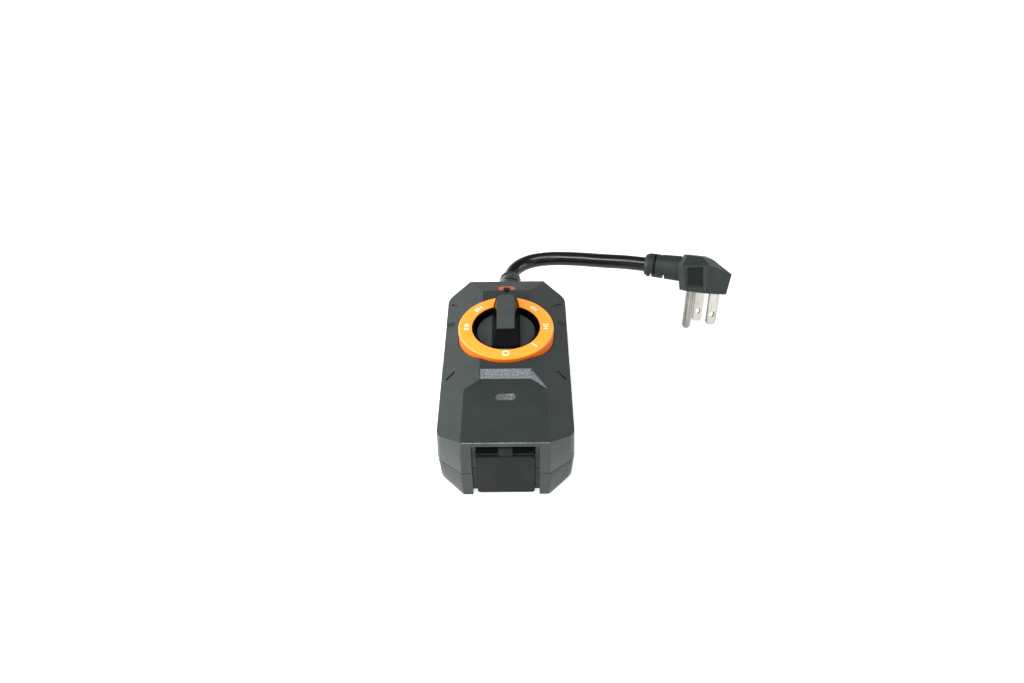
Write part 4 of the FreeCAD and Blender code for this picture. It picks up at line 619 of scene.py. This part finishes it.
def letter_mesh(words):
    """Words as a mesh, as thick as a print."""
    data = bpy.data.curves.new(words, "FONT")
    data.body = words
    data.size = LETTER_HEIGHT * MM
    data.align_x = "CENTER"
    data.align_y = "CENTER"
    data.extrude = MARK_RISE * MM
    data.resolution_u = LETTER_STEPS
    data.offset = -LETTER_THINNING * MM
    data.space_character = LETTER_SPACING
    carrier = bpy.data.objects.new(words, data)
    scene.collection.objects.link(carrier)
    bpy.context.view_layer.update()
    formed = carrier.evaluated_get(bpy.context.evaluated_depsgraph_get())
    mesh = bpy.data.meshes.new_from_object(formed)
    bpy.data.objects.remove(carrier)
    return mesh


def flat_shape(builder, points):
    """A filled outline, as thick as a print."""
    solid_through(builder, [[mm(x, y, z) for x, y in points] for z in (-MARK_RISE, MARK_RISE)])


def moon_and_sun(builder):
    """The mark for switching by daylight: a crescent beside a small sun with short rays."""
    outside = round_points(MOON_RADIUS, MOON_CENTRE, 60, 240, 20)
    inside = round_points(BITE_RADIUS, BITE_CENTRE, 288, -216, 16)
    flat_shape(builder, outside + inside)
    flat_shape(builder, round_points(SUN_RADIUS, SUN_CENTRE, 0, 345, 23))
    middle = Vector(SUN_CENTRE)
    for i in range(RAY_COUNT):
        turn = math.radians(360 / RAY_COUNT * i)
        along = Vector((math.cos(turn), math.sin(turn)))
        across = Vector((-along.y, along.x)) * RAY_HALF_WIDTH
        start, end = middle + along * RAY_START, middle + along * RAY_END
        flat_shape(builder, [start - across, end - across, end + across, start + across])


def off_ring(builder):
    """The mark O."""
    rings = []
    for i in range(OFF_STEPS):
        turn = 2 * math.pi * i / OFF_STEPS
        x, y = math.cos(turn), math.sin(turn)
        rings.append([
            builder.verts.new(mm(x * radius, y * radius, z))
            for radius, z in (
                (OFF_OUTER, -MARK_RISE),
                (OFF_OUTER, MARK_RISE),
                (OFF_INNER, MARK_RISE),
                (OFF_INNER, -MARK_RISE),
            )
        ])
    bridge(builder, rings + rings[:1])


def on_bar(builder):
    """The mark I."""
    x, y = ON_HALF_WIDTH, ON_HALF_HEIGHT
    flat_shape(builder, [(-x, -y), (x, -y), (x, y), (-x, y)])


def mark_mesh(draw):
    builder = bmesh.new()
    draw(builder)
    turn_outwards(builder)
    mesh = bpy.data.meshes.new("mark")
    builder.to_mesh(mesh)
    builder.free()
    return mesh


def place_mark(marks, mark, turn):
    """Lays a mark on the ring at a turn from +X, its top outwards."""
    angle = math.radians(turn)
    place = mm(
        DIAL_AXIS[0] + MARK_RADIUS * math.cos(angle),
        DIAL_AXIS[1] + MARK_RADIUS * math.sin(angle),
        RING_TOP,
    )
    mark.transform(Matrix.Translation(place) @ Matrix.Rotation(angle - math.pi / 2, 4, "Z"))
    marks.from_mesh(mark)


def make_dial_marks():
    marks = bmesh.new()
    for words, turn in LETTER_TURNS.items():
        place_mark(marks, letter_mesh(words), turn)
    place_mark(marks, mark_mesh(moon_and_sun), MOON_AND_SUN_TURN)
    place_mark(marks, mark_mesh(off_ring), OFF_TURN)
    place_mark(marks, mark_mesh(on_bar), ON_TURN)
    piece = new_piece("dial_marks", marks, "print_white", "dial")


make_dial_marks()


# The grained band on the step behind the sunken panel

STEP_HALF_WIDTH = 12.32
STEP_LOW_Y = -18.05
STEP_HIGH_Y = -14.35
STEP_LOW_Z = 36.6
STEP_HIGH_Z = 39.8
STEP_SIDE = (20.2, -25.35, 36.62)
STEP_SHOULDER = (12.83, -14.82, 39.78)
GRAIN_SEED = 7
GRAIN_CELL = 0.3
GRAIN_HEIGHT = 0.09
GRAIN_LIFT = 0.03
GRAIN_BACKING = 0.12


def grained_facet(builder, corners, randomness, material_index):
    """A four-cornered facet of small cells, whose corners stand a little higher or lower."""
    a, b, c, d = (Vector(corner) for corner in corners)
    outwards = (b - a).cross(d - a).normalized()
    columns = max(2, round((b - a).length / GRAIN_CELL))
    rows = max(2, round(max((d - a).length, (c - b).length) / GRAIN_CELL))
    grid = []
    for j in range(rows + 1):
        line = []
        for i in range(columns + 1):
            u, v = i / columns, j / rows
            place = (a * (1 - u) + b * u) * (1 - v) + (d * (1 - u) + c * u) * v
            rim = i in (0, columns) or j in (0, rows)
            rise = GRAIN_LIFT + (0 if rim else GRAIN_HEIGHT * randomness.random())
            line.append(builder.verts.new(mm(*(place + outwards * rise))))
        grid.append(line)
    for low, high in zip(grid, grid[1:]):
        for i in range(columns):
            cell = builder.faces.new((low[i], low[i + 1], high[i + 1], high[i]))
            cell.material_index = material_index


def make_step_grain():
    randomness = random.Random(GRAIN_SEED)
    builder = bmesh.new()
    middle = [
        (-STEP_HALF_WIDTH, STEP_LOW_Y, STEP_LOW_Z),
        (STEP_HALF_WIDTH, STEP_LOW_Y, STEP_LOW_Z),
        (STEP_HALF_WIDTH, STEP_HIGH_Y, STEP_HIGH_Z),
        (-STEP_HALF_WIDTH, STEP_HIGH_Y, STEP_HIGH_Z),
    ]
    grained_facet(builder, middle, randomness, 0)
    right = [middle[1], STEP_SIDE, STEP_SHOULDER, middle[2]]
    # The side facets take the darker copy, a painted shade.
    grained_facet(builder, right, randomness, 1)
    left = [(-x, y, z) for x, y, z in (right[1], right[0], right[3], right[2])]
    grained_facet(builder, left, randomness, 1)
    bmesh.ops.remove_doubles(builder, verts=builder.verts, dist=WELD_DISTANCE)
    bmesh.ops.triangulate(builder, faces=builder.faces)
    piece = new_piece("step_grain", builder, "step_grain", "casing")
    piece.data.materials.append(MATERIALS["step_grain_side_painted_shade"])
    backing = piece.modifiers.new("backing", "SOLIDIFY")
    backing.thickness = GRAIN_BACKING * MM
    backing.offset = -1


make_step_grain()


# The slightly uneven bead where the sunken panel meets the front wall, in a colour paler than the
# casing: a painted highlight

LIP_SEED = 11
LIP_HALF_WIDTH = 19.9
LIP_Y = -59.42
LIP_Z = 36.5
LIP_RADIUS = 0.2
LIP_LEAST = 0.7
LIP_SPREAD = 0.5
LIP_STEP = 0.5


def make_front_lip():
    randomness = random.Random(LIP_SEED)
    sections = []
    for i in range(round(2 * LIP_HALF_WIDTH / LIP_STEP) + 1):
        x = -LIP_HALF_WIDTH + LIP_STEP * i
        radius = LIP_RADIUS * (LIP_LEAST + LIP_SPREAD * randomness.random())
        corners = round_points(radius, (LIP_Y, LIP_Z), 0, 315, 7)
        sections.append([mm(x, y, z) for y, z in corners])
    builder = bmesh.new()
    solid_through(builder, sections)
    turn_outwards(builder)
    piece = new_piece("front_lip", builder, "lip_painted_highlight", "casing")


make_front_lip()


# Painted shade: a thin dark plate on the floor of the plug's finger recess, on each side

RECESS_SHADE_PLATES = [
    [
        (117.29, 80.50, 17.21),
        (109.69, 82.80, 16.08),
        (109.89, 88.77, 23.36),
        (117.42, 87.01, 25.10),
    ],
    [
        (111.00, 65.29, 27.63),
        (110.55, 70.39, 36.49),
        (103.10, 72.34, 34.61),
        (103.44, 67.68, 26.44),
    ],
]
RECESS_SKIN = 0.06


def make_recess_shade_plates():
    builder = bmesh.new()
    for corners in RECESS_SHADE_PLATES:
        places = [Vector(corner) for corner in corners]
        outwards = (places[1] - places[0]).cross(places[3] - places[0]).normalized()
        solid_through(builder, [
            [mm(*(place + outwards * rise)) for place in places]
            for rise in (-RECESS_SKIN, RECESS_SKIN)
        ])
    turn_outwards(builder)
    piece = new_piece("plug_recess_painted_shade", builder, "recess_painted_shade", "casing")


make_recess_shade_plates()


# The rubber cover over the outlet, and the strap that it bends on

COVER_HALF_WIDTH = 13.6
COVER_BOTTOM = 0.9
COVER_TOP = 26.2
COVER_FRONT = -59.1
COVER_BACK = -57.6
COVER_CORNER = 1.6
COVER_CORNER_STEPS = 6
COVER_SOFTENING = 0.35
COVER_SOFT_SEGMENTS = 3
COVER_SOFT_ANGLE = math.radians(30)
PAD_HALF_WIDTH = 11.2
PAD_BOTTOM = 4.2
PAD_TOP = 23.7
PAD_FRONT = -57.9
PAD_BACK = -56.62
PAD_CORNER = 1.2
STRAP_HALF_WIDTH = 3.3
STRAP_THICKNESS = 1.4
STRAP_CORNER = 0.45
STRAP_CORNER_STEPS = 3
STRAP_HEIGHT = 31.0
STRAP_LEVEL_YS = (-44.6, -48.0, -52.0, -55.0, -56.2)
STRAP_BEND_Y = -56.6
STRAP_BEND_RADIUS = 1.2
STRAP_HANGING_Y = -57.85
STRAP_HANGING_ZS = (28.9, 28.0, 27.0, 26.0, 25.2)


def plate(builder, half_width, front, back, bottom, top, corner):
    """A plate in the XZ plane, with rounded corners."""
    outline = rounded_outline(half_width, bottom, top, corner, COVER_CORNER_STEPS)
    solid_through(builder, [[mm(x, y, z) for x, z in outline] for y in (back, front)])


def make_cover():
    builder = bmesh.new()
    plate(
        builder,
        COVER_HALF_WIDTH,
        COVER_FRONT,
        COVER_BACK,
        COVER_BOTTOM,
        COVER_TOP,
        COVER_CORNER,
    )
    plate(builder, PAD_HALF_WIDTH, PAD_FRONT, PAD_BACK, PAD_BOTTOM, PAD_TOP, PAD_CORNER)
    piece = new_piece("cover_flap", builder, "cover_rubber", "cover")
    soft = piece.modifiers.new("edges", "BEVEL")
    soft.width = COVER_SOFTENING * MM
    soft.segments = COVER_SOFT_SEGMENTS
    soft.limit_method = "ANGLE"
    soft.angle_limit = COVER_SOFT_ANGLE
    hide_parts("outlet_cover")


def strap_path():
    """The strap's middle line in the YZ plane: forwards, round its bend and down the flap."""
    bend_centre = (STRAP_BEND_Y, STRAP_HEIGHT - STRAP_BEND_RADIUS)
    level = [(y, STRAP_HEIGHT) for y in STRAP_LEVEL_YS]
    bend = round_points(STRAP_BEND_RADIUS, bend_centre, 90, 90, 6)
    return level + bend + [(STRAP_HANGING_Y, z) for z in STRAP_HANGING_ZS]


def make_strap():
    half = STRAP_THICKNESS / 2
    outline = rounded_outline(STRAP_HALF_WIDTH, -half, half, STRAP_CORNER, STRAP_CORNER_STEPS)
    path = strap_path()
    sections = []
    for place, before, after in zip(path, path[:1] + path, path[1:] + path[-1:]):
        along = (Vector(after) - Vector(before)).normalized()
        across = Vector((-along.y, along.x))
        sections.append([
            mm(x, place[0] + across.x * rise, place[1] + across.y * rise) for x, rise in outline
        ])
    builder = bmesh.new()
    solid_through(builder, sections)
    turn_outwards(builder)
    piece = new_piece("cover_strap", builder, "cover_rubber", None)
    for polygon in piece.data.polygons:
        polygon.use_smooth = len(polygon.vertices) == 4
    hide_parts("cover_anchor")
    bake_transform(piece)


make_cover()
make_strap()


# Floor, in metres: its own glow whitens it for the camera, more so far from the object

FLOOR_HALF = 6.0
FLOOR_COLOUR = (0.62, 0.62, 0.62, 1)
FLOOR_ROUGHNESS = 0.9
FLOOR_GLOW = 0.6
FLOOR_FAR_GLOW = 0.4
FLOOR_FADE_START = 0.25
FLOOR_FADE_END = 1.0
WHITE = (1, 1, 1, 1)


def seen_directly(tree):
    """1 for rays from the camera, off gloss or through glass, and 0 for those that light things."""
    rays = tree.nodes.new("ShaderNodeLightPath").outputs
    seen = combined(tree, "MAXIMUM", rays["Is Camera Ray"], rays["Is Glossy Ray"])
    return combined(tree, "MAXIMUM", seen, rays["Is Transmission Ray"])


def make_floor():
    builder = bmesh.new()
    bmesh.ops.create_grid(builder, x_segments=1, y_segments=1, size=FLOOR_HALF)
    data = bpy.data.meshes.new("floor")
    builder.to_mesh(data)
    builder.free()
    material, tree, shader = new_material("floor_white")
    shader.inputs["Base Color"].default_value = FLOOR_COLOUR
    shader.inputs["Roughness"].default_value = FLOOR_ROUGHNESS
    shader.inputs["Specular IOR Level"].default_value = 0.0
    shader.inputs["Emission Color"].default_value = WHITE
    glow = spread_between(tree, seen_directly(tree), 0, 1, 0, FLOOR_GLOW)
    place = tree.nodes.new("ShaderNodeTexCoord")
    away = tree.nodes.new("ShaderNodeVectorMath")
    away.operation = "LENGTH"
    tree.links.new(place.outputs["Object"], away.inputs[0])
    distance = away.outputs["Value"]
    far = spread_between(tree, distance, FLOOR_FADE_START, FLOOR_FADE_END, 0, FLOOR_FAR_GLOW)
    camera_ray = tree.nodes.new("ShaderNodeLightPath").outputs["Is Camera Ray"]
    strength = combined(tree, "ADD", glow, combined(tree, "MULTIPLY", camera_ray, far))
    tree.links.new(strength, shader.inputs["Emission Strength"])
    data.materials.append(material)
    floor = bpy.data.objects.new("floor", data)
    scene.collection.objects.link(floor)


# World: each band has its low, middle and high heights, the side it shines from and its power

SKY_BANDS = [
    ((-0.01, 0.0, 0.3), ("X", -1), 10.2),
    ((-0.01, 0.0, 0.3), ("X", 1), 5.1),
    ((0.0, 0.3, 0.6), ("X", 1), 0.38),
    ((0.0, 0.3, 0.6), ("Y", 1), 0.41),
    ((0.3, 0.6, 0.95), ("Y", 1), 0.285),
    ((0.3, 0.6, 0.95), ("Y", -1), 0.51),
    ((0.6, 0.95, None), None, 0.224),
]


def sky_band(tree, directions, heights, side, power):
    """Light from one band, full at its middle height and falling to 0 at the low and the high."""
    low, middle, high = heights
    light = spread_between(tree, directions["Z"], low, middle)
    if high is not None:
        falling = spread_between(tree, directions["Z"], middle, high, 1, 0)
        light = combined(tree, "MULTIPLY", light, falling)
    if side:
        axis, sign = side
        towards = spread_between(tree, directions[axis], 0, sign)
        light = combined(tree, "MULTIPLY", light, towards)
    return spread_between(tree, light, 0, 1, 0, power)


def make_world():
    """Pale surroundings in soft bands, strongest low on the left; the camera sees plain white."""
    world = bpy.data.worlds.new("studio")
    scene.world = world
    world.use_nodes = True
    tree = world.node_tree
    background = tree.nodes["Background"]
    background.inputs["Color"].default_value = WHITE
    place = tree.nodes.new("ShaderNodeTexCoord")
    parts = tree.nodes.new("ShaderNodeSeparateXYZ")
    tree.links.new(place.outputs["Generated"], parts.inputs["Vector"])
    total, *others = [sky_band(tree, parts.outputs, *band) for band in SKY_BANDS]
    for light in others:
        total = combined(tree, "ADD", total, light)
    camera_ray = tree.nodes.new("ShaderNodeLightPath").outputs["Is Camera Ray"]
    unseen = combined(tree, "MULTIPLY", total, spread_between(tree, camera_ray, 0, 1, 1, 0))
    strength = combined(tree, "ADD", unseen, camera_ray)
    tree.links.new(strength, background.inputs["Strength"])


# Lamps: place and target in metres, width and height in metres, power in watts

LAMPS = {
    "key_above": ((-0.1, -0.25, 0.9), (0, 0, 0), (0.5, 0.4), 4.9),
    "cord_glint": ((-0.43, -0.22, 0.76), (0.03, 0.1, 0.02), (0.3, 0.12), 3.2),
    "side_left": ((-0.8, -0.1, 0.3), (0, 0, 0.02), (0.6, 0.5), 13.0),
    "side_right": ((0.8, -0.1, 0.3), (0, 0, 0.02), (0.6, 0.5), 4.0),
    "front": ((0.0, -0.9, 0.3), (0, 0, 0.02), (0.6, 0.4), 2.6),
}


def make_lamp(name, place, target, size, power):
    data = bpy.data.lights.new(name, "AREA")
    data.shape = "RECTANGLE"
    data.size, data.size_y = size
    data.energy = power
    lamp = bpy.data.objects.new(name, data)
    scene.collection.objects.link(lamp)
    lamp.location = place
    lamp.rotation_euler = (Vector(target) - Vector(place)).to_track_quat("-Z", "Y").to_euler()


make_floor()
make_world()
for lamp_name, settings in LAMPS.items():
    make_lamp(lamp_name, *settings)
